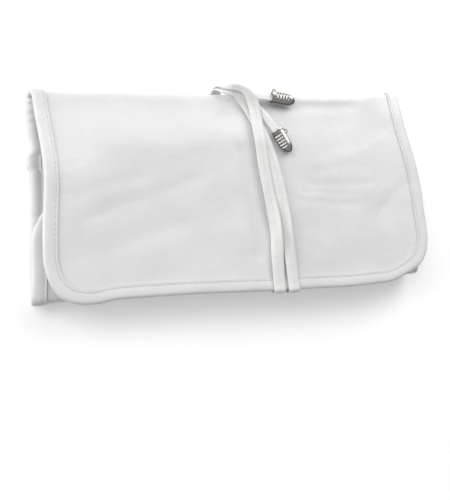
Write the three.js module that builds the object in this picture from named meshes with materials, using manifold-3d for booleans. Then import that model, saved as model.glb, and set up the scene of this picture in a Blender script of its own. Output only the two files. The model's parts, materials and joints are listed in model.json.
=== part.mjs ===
// A makeup brush case: a tri-fold roll of soft artificial leather, closed and tied with its own strap.
// Millimetres, +Z up. The case lies on its back panel. X runs along its length, the fold that carries
// the front panel is at +Y, and the free edge of the front panel is at -Y.
// Every sheet is laid out flat on its own panel and the panels are then folded up at their hinge lines.
// On each panel, local Z is the depth from the outer face of the binding towards the inside of the case.

import * as THREE from "three";
import { mergeVertices } from "three/addons/utils/BufferGeometryUtils.js";
import Module from "manifold-3d";

const wasm = await Module();
wasm.setup();

// Panels
const caseLength = 240;
const backWidth = 122;
const frontWidth = 127;
const innerWidth = 65;
const cornerRadius = 32;
const frontRise = 2.5; // degrees by which the closed front panel rises towards its free edge

// Sheets, from the outer face inwards
const tapeThickness = 0.7;
const coverThickness = 0.9;
const liningThickness = 0.5;
const clothThickness = 0.5;
const layerGap = 0.25;
const mitreGap = 0.25;
const bindingWidth = 8;

// Pockets: their widths share out the room on each panel, in the order of the opened case
const innerPockets = [26, 14, 14];
const backPockets = [15, 17, 27, 32, 24];
const frontPockets = [22, 21];
const rowToInnerEdge = 10.2; // from the front panel's last tube to the inner panel's free edge
const pocketLength = 107;
const pocketBulge = 4.5; // free height of a pocket tube
const pocketTaper = 16; // length over which a tube flattens towards its sewn end
const seamWidth = 2; // flat cloth between two tubes
const facingGap = 0.5; // between the pockets that face each other when closed
const panelGap = 0.95; // between the inner panel's free edge and the front panel

// Brush guard flap
const flapDrop = 92;
const flapSideMargin = 26.5; // from the inner panel's free edge to the side of the flap
const flapToInnerEdge = 12; // from the flap on the front panel to the inner panel's free edge
const flapCornerRadius = 25;
const hemWidth = 7;
const hemTape = 0.4;
const hemGap = 0.15;

// Tie strap
const strapWidth = 7.5;
const strapThickness = 1.3;
const pressedStrap = 0.7; // where the strap is pressed flat against the cover
const strapSurfaceGap = 0.1; // from the pressed strap to the plane of the binding
const firstStrandEdge = 16; // X of the strands' centre lines at the free edge
const secondStrandEdge = 25.2;
const firstStrandFold = -4; // X of the strands' centre lines at the top fold
const secondStrandFold = -13;
const underpassEnd = 41; // distance from the fold at which the second strand comes out from under
const underpassStep = 4;
const tailWidth = 4.9;

// Strap tips
const tipLength = 16;
const tipWidth = 8;
const tipThickness = 4.6;
const tipFlutes = 10;
const tipFluteDepth = 0.07; // share of the radius
const socketDepth = 6;
const tailInSocket = 4.5;
const socketGap = 0.25;

// Depths of the layers
const coverOuter = tapeThickness + layerGap;
const liningOuter = coverOuter + coverThickness + layerGap;
const liningInner = liningOuter + liningThickness;
const innerTape = liningInner + layerGap;
const panelThickness = innerTape + tapeThickness;
const clothBottom = innerTape;
const pocketTop = clothBottom + pocketBulge + clothThickness;
const flapBottom = clothBottom + hemTape + hemGap;
const flapTop = flapBottom + clothThickness;
const hemTop = flapTop + hemGap + hemTape;

// Heights of the two folds
const rise = THREE.MathUtils.degToRad(frontRise);
const innerFoldHeight = 2 * pocketTop + facingGap;
const riseAtInnerEdge = (backWidth - innerWidth) * Math.sin(rise);
const topFoldHeight = innerFoldHeight + panelThickness + panelGap - riseAtInnerEdge;
const rightAngle = Math.PI / 2;

const farAway = 2 * caseLength;
const arcSteps = 8;

// A closed geometry as a solid that can be cut and joined.
function solidOf(geometry) {
  const bare = new THREE.BufferGeometry();
  const source = geometry.index ? geometry.toNonIndexed() : geometry;
  bare.setAttribute("position", source.getAttribute("position"));
  const merged = mergeVertices(bare);
  return new wasm.Manifold(
    new wasm.Mesh({
      numProp: 3,
      vertProperties: merged.attributes.position.array,
      triVerts: new Uint32Array(merged.index.array),
    }),
  );
}

// A solid as a geometry with flat shaded faces.
function geometryOf(solid) {
  const mesh = solid.getMesh();
  const indexed = new THREE.BufferGeometry();
  indexed.setAttribute("position", new THREE.BufferAttribute(mesh.vertProperties, 3));
  indexed.setIndex(new THREE.BufferAttribute(mesh.triVerts, 1));
  const geometry = indexed.toNonIndexed();
  geometry.computeVertexNormals();
  return geometry;
}

// A plan shape extruded between two depths.
function slab(shape, low, high) {
  const options = { depth: high - low, bevelEnabled: false, curveSegments: arcSteps };
  const geometry = new THREE.ExtrudeGeometry(shape, options);
  geometry.translate(0, 0, low);
  return solidOf(geometry);
}

// A section drawn in local Y and depth, extruded along X.
function prismAlongX(section, left, right) {
  const geometry = new THREE.ExtrudeGeometry(section, { depth: right - left, bevelEnabled: false });
  const turn = new THREE.Matrix4().makeBasis(
    new THREE.Vector3(0, 1, 0),
    new THREE.Vector3(0, 0, 1),
    new THREE.Vector3(1, 0, 0),
  );
  geometry.applyMatrix4(turn);
  geometry.translate(left, 0, 0);
  return solidOf(geometry);
}

// A skin through rings of equal point counts, one for each station along X, closed by a cap at each end.
function loft(stations) {
  const count = stations[0].points.length;
  const positions = stations.flatMap(({ x, points }) => points.flatMap(([y, z]) => [x, y, z]));
  const faces = [];
  for (let ring = 0; ring + 1 < stations.length; ring++) {
    for (let i = 0; i < count; i++) {
      const a = ring * count + i;
      const b = ring * count + ((i + 1) % count);
      faces.push(a, b, a + count, b, b + count, a + count);
    }
  }
  const lastRing = (stations.length - 1) * count;
  const capOf = ({ points }) =>
    THREE.ShapeUtils.triangulateShape(points.map(([y, z]) => new THREE.Vector2(y, z)), []);
  for (const [a, b, c] of capOf(stations[0])) faces.push(a, c, b);
  for (const [a, b, c] of capOf(stations.at(-1))) faces.push(lastRing + a, lastRing + b, lastRing + c);
  const geometry = new THREE.BufferGeometry();
  geometry.setAttribute("position", new THREE.Float32BufferAttribute(positions, 3));
  geometry.setIndex(faces);
  return solidOf(geometry);
}

// A flat strip of even or changing width along a curve in plan.
function ribbonShape(route, widthAt) {
  const points = route.map(([x, y]) => new THREE.Vector3(x, y, 0));
  const curve = new THREE.CatmullRomCurve3(points, false, "centripetal");
  const steps = route.length > 2 ? 5 * (route.length - 1) : 1;
  const leftSide = [];
  const rightSide = [];
  for (let i = 0; i <= steps; i++) {
    const share = i / steps;
    const centre = curve.getPoint(share);
    const tangent = curve.getTangent(share);
    const half = widthAt(share) / 2;
    leftSide.push(new THREE.Vector2(centre.x - tangent.y * half, centre.y + tangent.x * half));
    rightSide.push(new THREE.Vector2(centre.x + tangent.y * half, centre.y - tangent.x * half));
  }
  return new THREE.Shape([...rightSide, ...leftSide.reverse()]);
}

// A panel spans from low to high in local Y. A hinged end is mitred, and the free end has round corners.
// Each hinge holds the angle between the inner faces of the two panels that it joins.
const squareFold = rightAngle;
const raisedFold = rightAngle + rise;
const panels = {
  back: { low: -backWidth / 2, high: backWidth / 2, lowHinge: squareFold, highHinge: squareFold },
  top_fold: { low: 0, high: topFoldHeight, lowHinge: squareFold, highHinge: raisedFold },
  front: { low: 0, high: frontWidth, lowHinge: raisedFold },
  inner_fold: { low: -innerFoldHeight, high: 0, lowHinge: squareFold, highHinge: squareFold },
  inner: { low: -innerWidth, high: 0, highHinge: squareFold },
};

// The plan of a panel, drawn in from its bound edges by an inset.
function planOf({ low, high, lowHinge, highHinge }, inset) {
  const side = caseLength / 2 - inset;
  const radius = Math.max(cornerRadius - inset, 1);
  const bottom = lowHinge ? low : low + inset;
  const top = highHinge ? high : high - inset;
  const shape = new THREE.Shape();
  if (lowHinge) {
    shape.moveTo(-side, bottom).lineTo(side, bottom);
  } else {
    shape.moveTo(-side, bottom + radius);
    shape.absarc(-side + radius, bottom + radius, radius, Math.PI, 1.5 * Math.PI);
    shape.absarc(side - radius, bottom + radius, radius, 1.5 * Math.PI, 2 * Math.PI);
  }
  if (highHinge) {
    shape.lineTo(side, top).lineTo(-side, top);
  } else {
    shape.absarc(side - radius, top - radius, radius, 0, 0.5 * Math.PI);
    shape.absarc(-side + radius, top - radius, radius, 0.5 * Math.PI, Math.PI);
  }
  return shape;
}

// The wedge that is taken away at a hinge, from its mitre plane out to the far side.
function mitreWedge(edge, angle, outward) {
  const far = edge + outward * farAway;
  const depths = [-panelThickness, 2 * panelThickness];
  const plane = depths.map((depth) => [edge - outward * (mitreGap + depth / Math.tan(angle / 2)), depth]);
  const corners = [[far, depths[0]], ...plane, [far, depths[1]]];
  const section = new THREE.Shape(corners.map(([y, depth]) => new THREE.Vector2(y, depth)));
  return prismAlongX(section, -farAway, farAway);
}

// Cuts a solid back to the mitre planes of its panel's hinges, so that it can fold by a square angle.
function mitre(solid, { low, high, lowHinge, highHinge }) {
  let cut = solid;
  if (lowHinge) cut = cut.subtract(mitreWedge(low, lowHinge, -1));
  if (highHinge) cut = cut.subtract(mitreWedge(high, highHinge, 1));
  return cut;
}

// The half of a solid on one side of X = 0.
function endOf(solid, sign) {
  const box = new THREE.BoxGeometry(farAway, 2 * farAway, farAway).translate((sign * farAway) / 2, 0, 0);
  return solid.intersect(solidOf(box));
}

// Trims a piece that is sewn on the lining to the room inside the binding.
function insideBinding(solid, panel) {
  return solid.intersect(slab(planOf(panel, bindingWidth + layerGap), 0, 2 * pocketTop));
}

// A sheet that fills the panel up to the fold of the binding tape.
function sheet(panel, low, high) {
  return mitre(slab(planOf(panel, tapeThickness + layerGap), low, high), panel);
}

// The binding tape folded round every bound edge of the panel.
function binding(panel) {
  const outer = slab(planOf(panel, 0), 0, panelThickness);
  const slot = slab(planOf(panel, tapeThickness), tapeThickness, innerTape);
  const middle = slab(planOf(panel, bindingWidth), -tapeThickness, panelThickness + tapeThickness);
  return mitre(outer.subtract(slot).subtract(middle), panel);
}

// The flap: cloth between the hem and the upper end's binding. Its plan is drawn in by an inset.
const flapRoot = -caseLength / 2 + bindingWidth + layerGap;
const flapEnd = -caseLength / 2 + flapDrop;
const flapSpan = {
  back: panels.back,
  top_fold: panels.top_fold,
  front: { ...panels.front, high: backWidth - innerWidth - flapToInnerEdge },
  inner_fold: panels.inner_fold,
  inner: { ...panels.inner, low: -innerWidth + flapSideMargin },
};

function flapPlan({ low, high, lowHinge, highHinge }, inset) {
  const end = flapEnd - inset;
  const radius = Math.max(flapCornerRadius - inset, 1);
  const bottom = lowHinge ? low : low + inset;
  const top = highHinge ? high : high - inset;
  const shape = new THREE.Shape();
  shape.moveTo(flapRoot, top);
  shape.lineTo(flapRoot, bottom);
  if (lowHinge) shape.lineTo(end, bottom);
  else shape.absarc(end - radius, bottom + radius, radius, 1.5 * Math.PI, 2 * Math.PI);
  if (highHinge) shape.lineTo(end, top);
  else shape.absarc(end - radius, top - radius, radius, 0, 0.5 * Math.PI);
  return shape;
}

function flapCloth(span) {
  return mitre(slab(flapPlan(span, hemTape + hemGap), flapBottom, flapTop), span);
}

function flapHem(span) {
  const outer = slab(flapPlan(span, 0), clothBottom, hemTop);
  const slot = slab(flapPlan(span, hemTape), clothBottom + hemTape, hemTop - hemTape);
  const middle = slab(flapPlan(span, hemWidth), 0, 2 * hemTop);
  return mitre(outer.subtract(slot).subtract(middle), span);
}

// The upper half of a superellipse, from its left foot to its right foot.
const archPower = 2.6;
const archSteps = 8;
function arch(centre, halfWidth, base, height) {
  return Array.from({ length: archSteps + 1 }, (_, i) => {
    const angle = Math.PI * (1 - i / archSteps);
    const across = Math.sign(Math.cos(angle)) * Math.abs(Math.cos(angle)) ** (2 / archPower);
    const up = Math.abs(Math.sin(angle)) ** (2 / archPower);
    return [centre + halfWidth * across, base + height * up];
  });
}

// A strip of pocket cloth from low to high, sewn down between its tubes and along its lower end.
function pocketCloth(low, high, widths) {
  const scale = (high - low) / widths.reduce((sum, width) => sum + width, 0);
  const tubes = [];
  let start = low;
  for (const width of widths) {
    tubes.push({ centre: start + (width * scale) / 2, half: (width * scale - seamWidth) / 2 });
    start += width * scale;
  }
  const ringAt = (height) => {
    const under = tubes.flatMap(({ centre, half }) =>
      arch(centre, half - clothThickness, clothBottom, height),
    );
    const over = tubes.flatMap(({ centre, half }) =>
      arch(centre, half, clothBottom + clothThickness, height),
    );
    const lowEdge = [[low, clothBottom + clothThickness], [low, clothBottom]];
    const highEdge = [[high, clothBottom], [high, clothBottom + clothThickness]];
    return [...lowEdge, ...under, ...highEdge, ...over.reverse()];
  };
  const mouth = caseLength / 2 - pocketLength;
  const sewnEnd = caseLength / 2 - bindingWidth - layerGap;
  return loft([
    { x: mouth, points: ringAt(pocketBulge) },
    { x: sewnEnd - pocketTaper, points: ringAt(pocketBulge) },
    { x: sewnEnd - pocketTaper / 3, points: ringAt(0.55 * pocketBulge) },
    { x: sewnEnd, points: ringAt(0) },
  ]);
}

// Where the pocket row may start beside a fold, clear of the lining that stands there when closed.
const pocketMargin = panelThickness + layerGap;
const pocketSpans = {
  inner: [-innerWidth + bindingWidth + layerGap, -pocketMargin, innerPockets],
  back: [-backWidth / 2 + pocketMargin, backWidth / 2 - pocketMargin, backPockets],
  front: [pocketMargin, backWidth - innerWidth - rowToInnerEdge, frontPockets],
};

// The pressed strap across a panel, from X at its low end to X at its high end.
function pressedStrand(panel, lowX, highX) {
  const overrun = panelThickness;
  const slope = (highX - lowX) / (panel.high - panel.low);
  const from = new THREE.Vector2(lowX - slope * overrun, panel.low - overrun);
  const to = new THREE.Vector2(highX + slope * overrun, panel.high + overrun);
  const half = strapWidth / 2;
  const shape = new THREE.Shape([
    new THREE.Vector2(from.x - half, from.y),
    new THREE.Vector2(from.x + half, from.y),
    new THREE.Vector2(to.x + half, to.y),
    new THREE.Vector2(to.x - half, to.y),
  ]);
  return mitre(slab(shape, strapSurfaceGap, strapSurfaceGap + pressedStrap), panel);
}

// Depths of the loose strands on the front panel. They lie over the binding, so their depth is negative.
const strandLow = -layerGap - strapThickness;
const strandHigh = -layerGap;

// The end of a strand that turns round the free edge and runs on to the corner of the inner fold.
function edgeHook(centreX) {
  const middleDepth = (strandLow + strandHigh) / 2;
  const edge = frontWidth + 1.5 * layerGap;
  const beside = frontWidth + strapThickness;
  const cornerDepth = (topFoldHeight - innerFoldHeight + backWidth * Math.sin(rise)) / Math.cos(rise);
  const end = backWidth + strapThickness;
  const route = [
    [frontWidth - bindingWidth / 2, middleDepth],
    [edge, middleDepth],
    [beside, panelThickness / 2],
    [Math.min(Math.max(end, edge), beside), panelThickness - middleDepth],
    [end, cornerDepth - layerGap - strapThickness],
  ];
  const section = ribbonShape(route, () => strapThickness);
  return prismAlongX(section, centreX - strapWidth / 2, centreX + strapWidth / 2);
}

// The first strand comes over the fold from the left, arches over the second and runs down the panel.
function firstStrand() {
  const route = [
    [firstStrandFold - 1, 2],
    [firstStrandFold + 4, -3],
    [firstStrandFold + 9.5, -3.4],
    [firstStrandFold + 14.4, 0.6],
    [firstStrandFold + 16, 10],
    [firstStrandFold + 16.3, 30],
    [14.3, 69],
    [firstStrandEdge, frontWidth - bindingWidth],
    [firstStrandEdge, frontWidth],
  ];
  return slab(ribbonShape(route, () => strapWidth), strandLow, strandHigh).add(edgeHook(firstStrandEdge));
}

// The second strand passes pressed flat under the first from its left side, then rises to its right.
function secondStrand() {
  const under = [
    [secondStrandFold, 1],
    [secondStrandFold, 3.5],
    [secondStrandFold + 8, 11.5],
    [secondStrandFold + 20, 20],
    [17.5, 33],
    [21.4, underpassEnd + underpassStep],
  ];
  const above = [
    [21, underpassEnd],
    [24.1, 70],
    [secondStrandEdge, frontWidth - bindingWidth],
    [secondStrandEdge, frontWidth],
  ];
  const step = [
    [21, underpassEnd],
    [21.4, underpassEnd + underpassStep],
  ];
  const width = () => strapWidth;
  const pressedHigh = strapSurfaceGap + pressedStrap;
  return slab(ribbonShape(under, width), pressedHigh - pressedStrap, pressedHigh)
    .add(slab(ribbonShape(step, width), strandLow, pressedHigh))
    .add(slab(ribbonShape(above, width), strandLow, strandHigh))
    .add(edgeHook(secondStrandEdge));
}

// Tails lie on the strands, and a tip is crimped on the end of each.
const tailHigh = strandLow - layerGap;
const tailLow = tailHigh - strapThickness;
const tailMiddle = (tailLow + tailHigh) / 2;
const tips = {
  first: { base: new THREE.Vector2(22.5, 1.1), angle: THREE.MathUtils.degToRad(3) },
  second: { base: new THREE.Vector2(24, 25), angle: THREE.MathUtils.degToRad(60) },
};
const tailStarts = { first: [[9.5, -2], [15.5, -0.8]], second: [[13, 7], [18.4, 15]] };

function tail(name) {
  const { base, angle } = tips[name];
  const along = (distance) => [
    base.x + distance * Math.cos(angle),
    base.y + distance * Math.sin(angle),
  ];
  const route = [...tailStarts[name], along(0), along(tailInSocket)];
  return slab(ribbonShape(route, () => tailWidth), tailLow, tailHigh);
}

// A fluted cap, rounded off towards its point, with an open socket for the strap.
const tipProfile = [
  [0, 0.86],
  [0.05, 0.95],
  [0.12, 0.92],
  [0.35, 1],
  [0.6, 0.96],
  [0.78, 0.8],
  [0.9, 0.55],
  [1, 0.2],
];
const tipRingPoints = 30;
function tipSolid() {
  const stations = tipProfile.map(([share, size]) => ({
    x: share * tipLength,
    points: Array.from({ length: tipRingPoints }, (_, i) => {
      const angle = (2 * Math.PI * i) / tipRingPoints;
      const flute = 1 - tipFluteDepth * (0.5 + 0.5 * Math.cos(tipFlutes * angle));
      const y = (tipWidth / 2) * size * flute * Math.cos(angle);
      const z = (tipThickness / 2) * size * flute * Math.sin(angle);
      return [y, z];
    }),
  }));
  const socketWidth = tailWidth + 2 * socketGap;
  const socketHeight = strapThickness + 2 * socketGap;
  const socket = new THREE.BoxGeometry(2 * socketDepth, socketWidth, socketHeight);
  return loft(stations).subtract(solidOf(socket));
}

// Finishes
const finish = (color, roughness, metalness = 0) => ({ color, roughness, metalness });
const finishes = {
  cover: finish(0xd2d3d1, 0.42),
  binding: finish(0xdcdcd8, 0.45),
  lining: finish(0xdad9e0, 0.85),
  pocket: finish(0xe4e3ea, 0.8),
  flap: finish(0xe8e6ee, 0.7),
  strap: finish(0xe6e6e4, 0.5),
  tip: finish(0xb9bcbe, 0.25, 1),
};

function mesh(name, solid, look) {
  const piece = new THREE.Mesh(geometryOf(solid), new THREE.MeshStandardMaterial(finishes[look]));
  piece.name = name;
  return piece;
}

// Every sheet that lies on one panel.
function panelSheets(name) {
  const panel = panels[name];
  const group = new THREE.Group();
  group.add(mesh(`cover_${name}`, sheet(panel, coverOuter, coverOuter + coverThickness), "cover"));
  group.add(mesh(`lining_${name}`, sheet(panel, liningOuter, liningInner), "lining"));
  const tape = binding(panel);
  if (panel.lowHinge && panel.highHinge) {
    group.add(mesh(`binding_${name}_flap_end`, endOf(tape, -1), "binding"));
    group.add(mesh(`binding_${name}_pocket_end`, endOf(tape, 1), "binding"));
  } else {
    group.add(mesh(`binding_${name}`, tape, "binding"));
  }
  if (pocketSpans[name]) {
    const cloth = insideBinding(pocketCloth(...pocketSpans[name]), panel);
    group.add(mesh(`pocket_cloth_${name}`, cloth, "pocket"));
  }
  const span = flapSpan[name];
  group.add(mesh(`flap_${name}`, insideBinding(flapCloth(span), panel), "flap"));
  group.add(mesh(`flap_hem_${name}`, insideBinding(flapHem(span), panel), "binding"));
  return group;
}

const back = panelSheets("back");
const topFold = panelSheets("top_fold");
const front = panelSheets("front");
const innerFold = panelSheets("inner_fold");
const inner = panelSheets("inner");

// The strap, stretch by stretch
const { back: backPanel, top_fold: topPanel, inner_fold: innerPanel } = panels;
back.add(
  mesh("tie_back_strand_1", pressedStrand(backPanel, secondStrandEdge, firstStrandFold), "strap"),
  mesh("tie_back_strand_2", pressedStrand(backPanel, firstStrandEdge, secondStrandFold), "strap"),
);
topFold.add(
  mesh("tie_top_turn_1", pressedStrand(topPanel, firstStrandFold, firstStrandFold), "strap"),
  mesh("tie_top_turn_2", pressedStrand(topPanel, secondStrandFold, secondStrandFold), "strap"),
);
innerFold.add(
  mesh("tie_edge_turn_1", pressedStrand(innerPanel, secondStrandEdge, secondStrandEdge), "strap"),
  mesh("tie_edge_turn_2", pressedStrand(innerPanel, firstStrandEdge, firstStrandEdge), "strap"),
);
front.add(
  mesh("tie_front_strand_1", firstStrand(), "strap"),
  mesh("tie_front_strand_2", secondStrand(), "strap"),
  mesh("tie_tail_1", tail("first"), "strap"),
  mesh("tie_tail_2", tail("second"), "strap"),
);
for (const [index, name] of ["first", "second"].entries()) {
  const tip = mesh(`tie_tip_${index + 1}`, tipSolid(), "tip");
  const { base, angle } = tips[name];
  tip.position.set(base.x, base.y, tailMiddle);
  tip.rotation.z = angle;
  front.add(tip);
}

// Folding up
topFold.position.y = backWidth / 2;
topFold.rotation.x = rightAngle;
front.position.y = topFoldHeight;
front.rotation.x = rightAngle - rise;
topFold.add(front);
innerFold.position.y = -backWidth / 2;
innerFold.rotation.x = -rightAngle;
inner.position.y = -innerFoldHeight;
inner.rotation.x = -rightAngle;
innerFold.add(inner);

const brushCase = new THREE.Group();
brushCase.add(back, topFold, innerFold);

// The origin is under the middle of the closed case.
const bounds = new THREE.Box3().setFromObject(brushCase, true);
const middle = bounds.getCenter(new THREE.Vector3());
brushCase.position.set(-middle.x, -middle.y, -bounds.min.z);

export default brushCase;
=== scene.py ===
"""Looks of a makeup brush case: pearl artificial leather outside, pale cloth inside, closed and tied.

The whole case is one flat sheet bent round four folds. A point of it is given by x, its place along the
case, by u, its distance along the sheet from the free edge of the front panel to the free edge of the
inner panel, and by its depth from the outer face of the binding towards the inside. Lengths in the
classes are millimetres, and a mesh gets its vertices in metres.
"""

import json
import logging
import math
from dataclasses import dataclass
from enum import Enum

import bpy
import numpy as np
from mathutils import Matrix, Vector

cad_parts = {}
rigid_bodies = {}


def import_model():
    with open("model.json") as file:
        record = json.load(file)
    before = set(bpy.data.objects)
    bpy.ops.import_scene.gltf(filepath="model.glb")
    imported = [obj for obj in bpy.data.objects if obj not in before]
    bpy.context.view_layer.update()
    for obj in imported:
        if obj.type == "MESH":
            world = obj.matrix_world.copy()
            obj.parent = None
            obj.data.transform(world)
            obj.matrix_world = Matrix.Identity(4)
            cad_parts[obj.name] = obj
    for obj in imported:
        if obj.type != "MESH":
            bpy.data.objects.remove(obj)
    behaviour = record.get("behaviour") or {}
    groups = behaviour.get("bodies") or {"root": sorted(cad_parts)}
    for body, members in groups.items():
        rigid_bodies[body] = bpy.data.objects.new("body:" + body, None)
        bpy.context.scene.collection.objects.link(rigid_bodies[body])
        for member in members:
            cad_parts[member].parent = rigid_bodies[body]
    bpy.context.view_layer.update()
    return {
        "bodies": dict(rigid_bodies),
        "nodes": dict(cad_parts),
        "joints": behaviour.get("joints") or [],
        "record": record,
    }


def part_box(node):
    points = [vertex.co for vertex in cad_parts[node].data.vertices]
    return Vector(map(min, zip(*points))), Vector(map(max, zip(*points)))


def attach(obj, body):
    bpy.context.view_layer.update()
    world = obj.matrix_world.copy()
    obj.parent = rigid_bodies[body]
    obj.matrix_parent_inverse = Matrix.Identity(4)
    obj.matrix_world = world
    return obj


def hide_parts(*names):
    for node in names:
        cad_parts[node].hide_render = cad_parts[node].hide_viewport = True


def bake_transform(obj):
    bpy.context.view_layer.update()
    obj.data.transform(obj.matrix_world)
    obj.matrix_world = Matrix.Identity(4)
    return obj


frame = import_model()

MM = 0.001
log = logging.getLogger("brush_case")


# Curves and fields


def smooth(value: np.ndarray, start: float, end: float) -> np.ndarray:
    """A smooth step from 0 at start to 1 at end.

    Args:
        value: Where the step is read.
        start: Where it leaves 0.
        end: Where it reaches 1; it may be below start.

    Returns:
        3 t^2 - 2 t^3 of the share t, held within 0 and 1.
    """
    share = np.clip((value - start) / (end - start), 0.0, 1.0)
    return share * share * (3.0 - 2.0 * share)


def hill(value: np.ndarray, centre: float, width: float) -> np.ndarray:
    """A bell of height 1 at centre, exp(-((v - centre) / width)^2)."""
    return np.exp(-(((value - centre) / width) ** 2))


def ripple(x: np.ndarray, u: np.ndarray, length: float, seed: int) -> np.ndarray:
    """Smooth unevenness between about -1 and 1.

    Args:
        x: First coordinate, in millimetres.
        u: Second coordinate, in millimetres.
        length: Typical length of a wave.
        seed: Picks the directions and phases.

    Returns:
        The sum of twelve sine waves of even heights, in seeded directions.
    """
    waves, shortest, longest, peak = 12, 0.7, 1.6, 1.2
    dice = np.random.default_rng(seed)
    total = np.zeros(np.broadcast(x, u).shape)
    for _ in range(waves):
        heading = dice.uniform(0.0, math.pi)
        pitch = length * dice.uniform(shortest, longest)
        phase = dice.uniform(0.0, 2.0 * math.pi)
        across = x * math.cos(heading) + u * math.sin(heading)
        total = total + np.sin(2.0 * math.pi * across / pitch + phase)
    return total / math.sqrt(waves) / peak


def spline(points: np.ndarray, steps: int, measured: int = 3) -> np.ndarray:
    """A smooth curve through points.

    Args:
        points: The points that it passes, one row each.
        steps: Samples in each span between two points.
        measured: How many of the first columns are lengths, which space the curve.

    Returns:
        The samples of a centripetal Catmull-Rom curve, its ends included.
    """
    points = np.asarray(points, float)
    ends = np.vstack([2 * points[0] - points[1], points, 2 * points[-1] - points[-2]])
    gaps = np.linalg.norm(np.diff(ends[:, :measured], axis=0), axis=1) ** 0.5
    knots = np.concatenate([[0.0], np.cumsum(np.maximum(gaps, 1e-6))])
    rows = []
    for i in range(1, len(ends) - 2):
        k0, k1, k2, k3 = knots[i - 1 : i + 3]
        t = np.linspace(k1, k2, steps, endpoint=False)[:, None]
        a, b, c, d = ends[i - 1 : i + 3]
        ab = ((k1 - t) * a + (t - k0) * b) / (k1 - k0)
        bc = ((k2 - t) * b + (t - k1) * c) / (k2 - k1)
        cd = ((k3 - t) * c + (t - k2) * d) / (k3 - k2)
        abc = ((k2 - t) * ab + (t - k0) * bc) / (k2 - k0)
        bcd = ((k3 - t) * bc + (t - k1) * cd) / (k3 - k1)
        rows.append(((k2 - t) * abc + (t - k1) * bcd) / (k2 - k1))
    rows.append(points[-1:])
    return np.vstack(rows)


def unit(vectors: np.ndarray) -> np.ndarray:
    """Vectors of length 1 along the last axis."""
    return vectors / np.maximum(np.linalg.norm(vectors, axis=-1, keepdims=True), 1e-12)


def distances(points: np.ndarray) -> np.ndarray:
    """Distance along a row of points, from the first one to each."""
    return np.concatenate([[0.0], np.cumsum(np.linalg.norm(np.diff(points, axis=0), axis=1))])


def corner_reach(from_edge: np.ndarray, radius: float) -> np.ndarray:
    """How far a round corner reaches out: 0 at the free edge, and its radius from there on inwards."""
    share = np.clip(from_edge / radius, 0.0, 1.0)
    return radius * np.sqrt(1.0 - (1.0 - share) ** 2)


# Meshes

# Vertices and the quads between them
Shell = tuple[np.ndarray, np.ndarray]

# Edges that turn by more degrees than this are drawn sharp, on skins and on tapes
SKIN_ANGLE, TAPE_ANGLE = 60.0, 50.0


def signed_volume(points: np.ndarray, quads: np.ndarray) -> float:
    """Volume inside quads, positive where they face out: the sum of a . (b x c) / 6 over their triangles."""
    total = 0.0
    for corners in ((0, 1, 2), (0, 2, 3)):
        a, b, c = (points[quads[:, k]] for k in corners)
        total += float((a * np.cross(b, c)).sum() / 6.0)
    return total


def add_object(name: str, data: bpy.types.ID) -> bpy.types.Object:
    """Makes an object of a mesh, a camera or a lamp, and links it to the scene."""
    made = bpy.data.objects.new(name, data)
    bpy.context.scene.collection.objects.link(made)
    return made


def make_object(
    name: str,
    points: np.ndarray,
    quads: np.ndarray,
    layout: np.ndarray | None = None,
    crease_angle: float = 40.0,
) -> bpy.types.Object:
    """Makes a shaded mesh object of closed shells.

    Args:
        name: The piece's name.
        points: Vertices in metres, one row each.
        quads: Corner numbers, four to a row.
        layout: A place on the flat sheet for each vertex, kept as the UV map.
        crease_angle: Edges that turn by more than this many degrees are drawn sharp.

    Returns:
        The object, linked to the scene, at the origin.
    """
    if signed_volume(points, quads) < 0:
        quads = quads[:, ::-1]
    mesh = bpy.data.meshes.new(name)
    mesh.from_pydata(points.tolist(), [], quads.tolist())
    mesh.polygons.foreach_set("use_smooth", np.ones(len(mesh.polygons), bool))
    if layout is not None:
        corners = np.zeros(len(mesh.loops), np.int64)
        mesh.loops.foreach_get("vertex_index", corners)
        uv = mesh.uv_layers.new(name="Layout")
        uv.data.foreach_set("uv", layout[corners].astype(np.float32).ravel())
    mesh.update()
    mesh.set_sharp_from_angle(angle=math.radians(crease_angle))
    return add_object(name, mesh)


def grid_quads(rows: int, columns: int, offset: int = 0) -> np.ndarray:
    """Quads of a rows by columns grid of vertices that starts at offset."""
    r, c = np.meshgrid(np.arange(rows - 1), np.arange(columns - 1), indexing="ij")
    first = (r * columns + c).ravel() + offset
    return np.stack([first, first + 1, first + columns + 1, first + columns], axis=1)


def shell_quads(rows: int, columns: int) -> np.ndarray:
    """Quads of a closed slab: an upper grid, a lower grid that follows it, and the wall round them."""
    count = rows * columns
    upper = grid_quads(rows, columns)
    lower = grid_quads(rows, columns, count)[:, ::-1]
    index = np.arange(count).reshape(rows, columns)
    rim = np.concatenate([index[0], index[1:, -1], index[-1, -2::-1], index[-2::-1, 0]])
    a, b = rim[:-1], rim[1:]
    wall = np.stack([b, a, a + count, b + count], axis=1)
    return np.concatenate([upper, lower, wall])


def tube_quads(rings: int, ring_points: int, offset: int = 0) -> np.ndarray:
    """Quads of a tube of closed rings with a flat strip across each end; a ring has an even count."""
    index = np.arange(rings * ring_points).reshape(rings, ring_points) + offset
    a, b = index[:-1], np.roll(index[:-1], -1, axis=1)
    side = np.stack([a, b, np.roll(index[1:], -1, axis=1), index[1:]], axis=-1).reshape(-1, 4)
    half = ring_points // 2
    k = np.arange(half - 1)
    caps = []
    for ring, flip in ((index[0], True), (index[-1], False)):
        cap = np.stack([ring[k], ring[k + 1], ring[-2 - k], ring[-1 - k]], axis=1)
        caps.append(cap[:, ::-1] if flip else cap)
    return np.concatenate([side, *caps])


# The bent sheet


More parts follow.
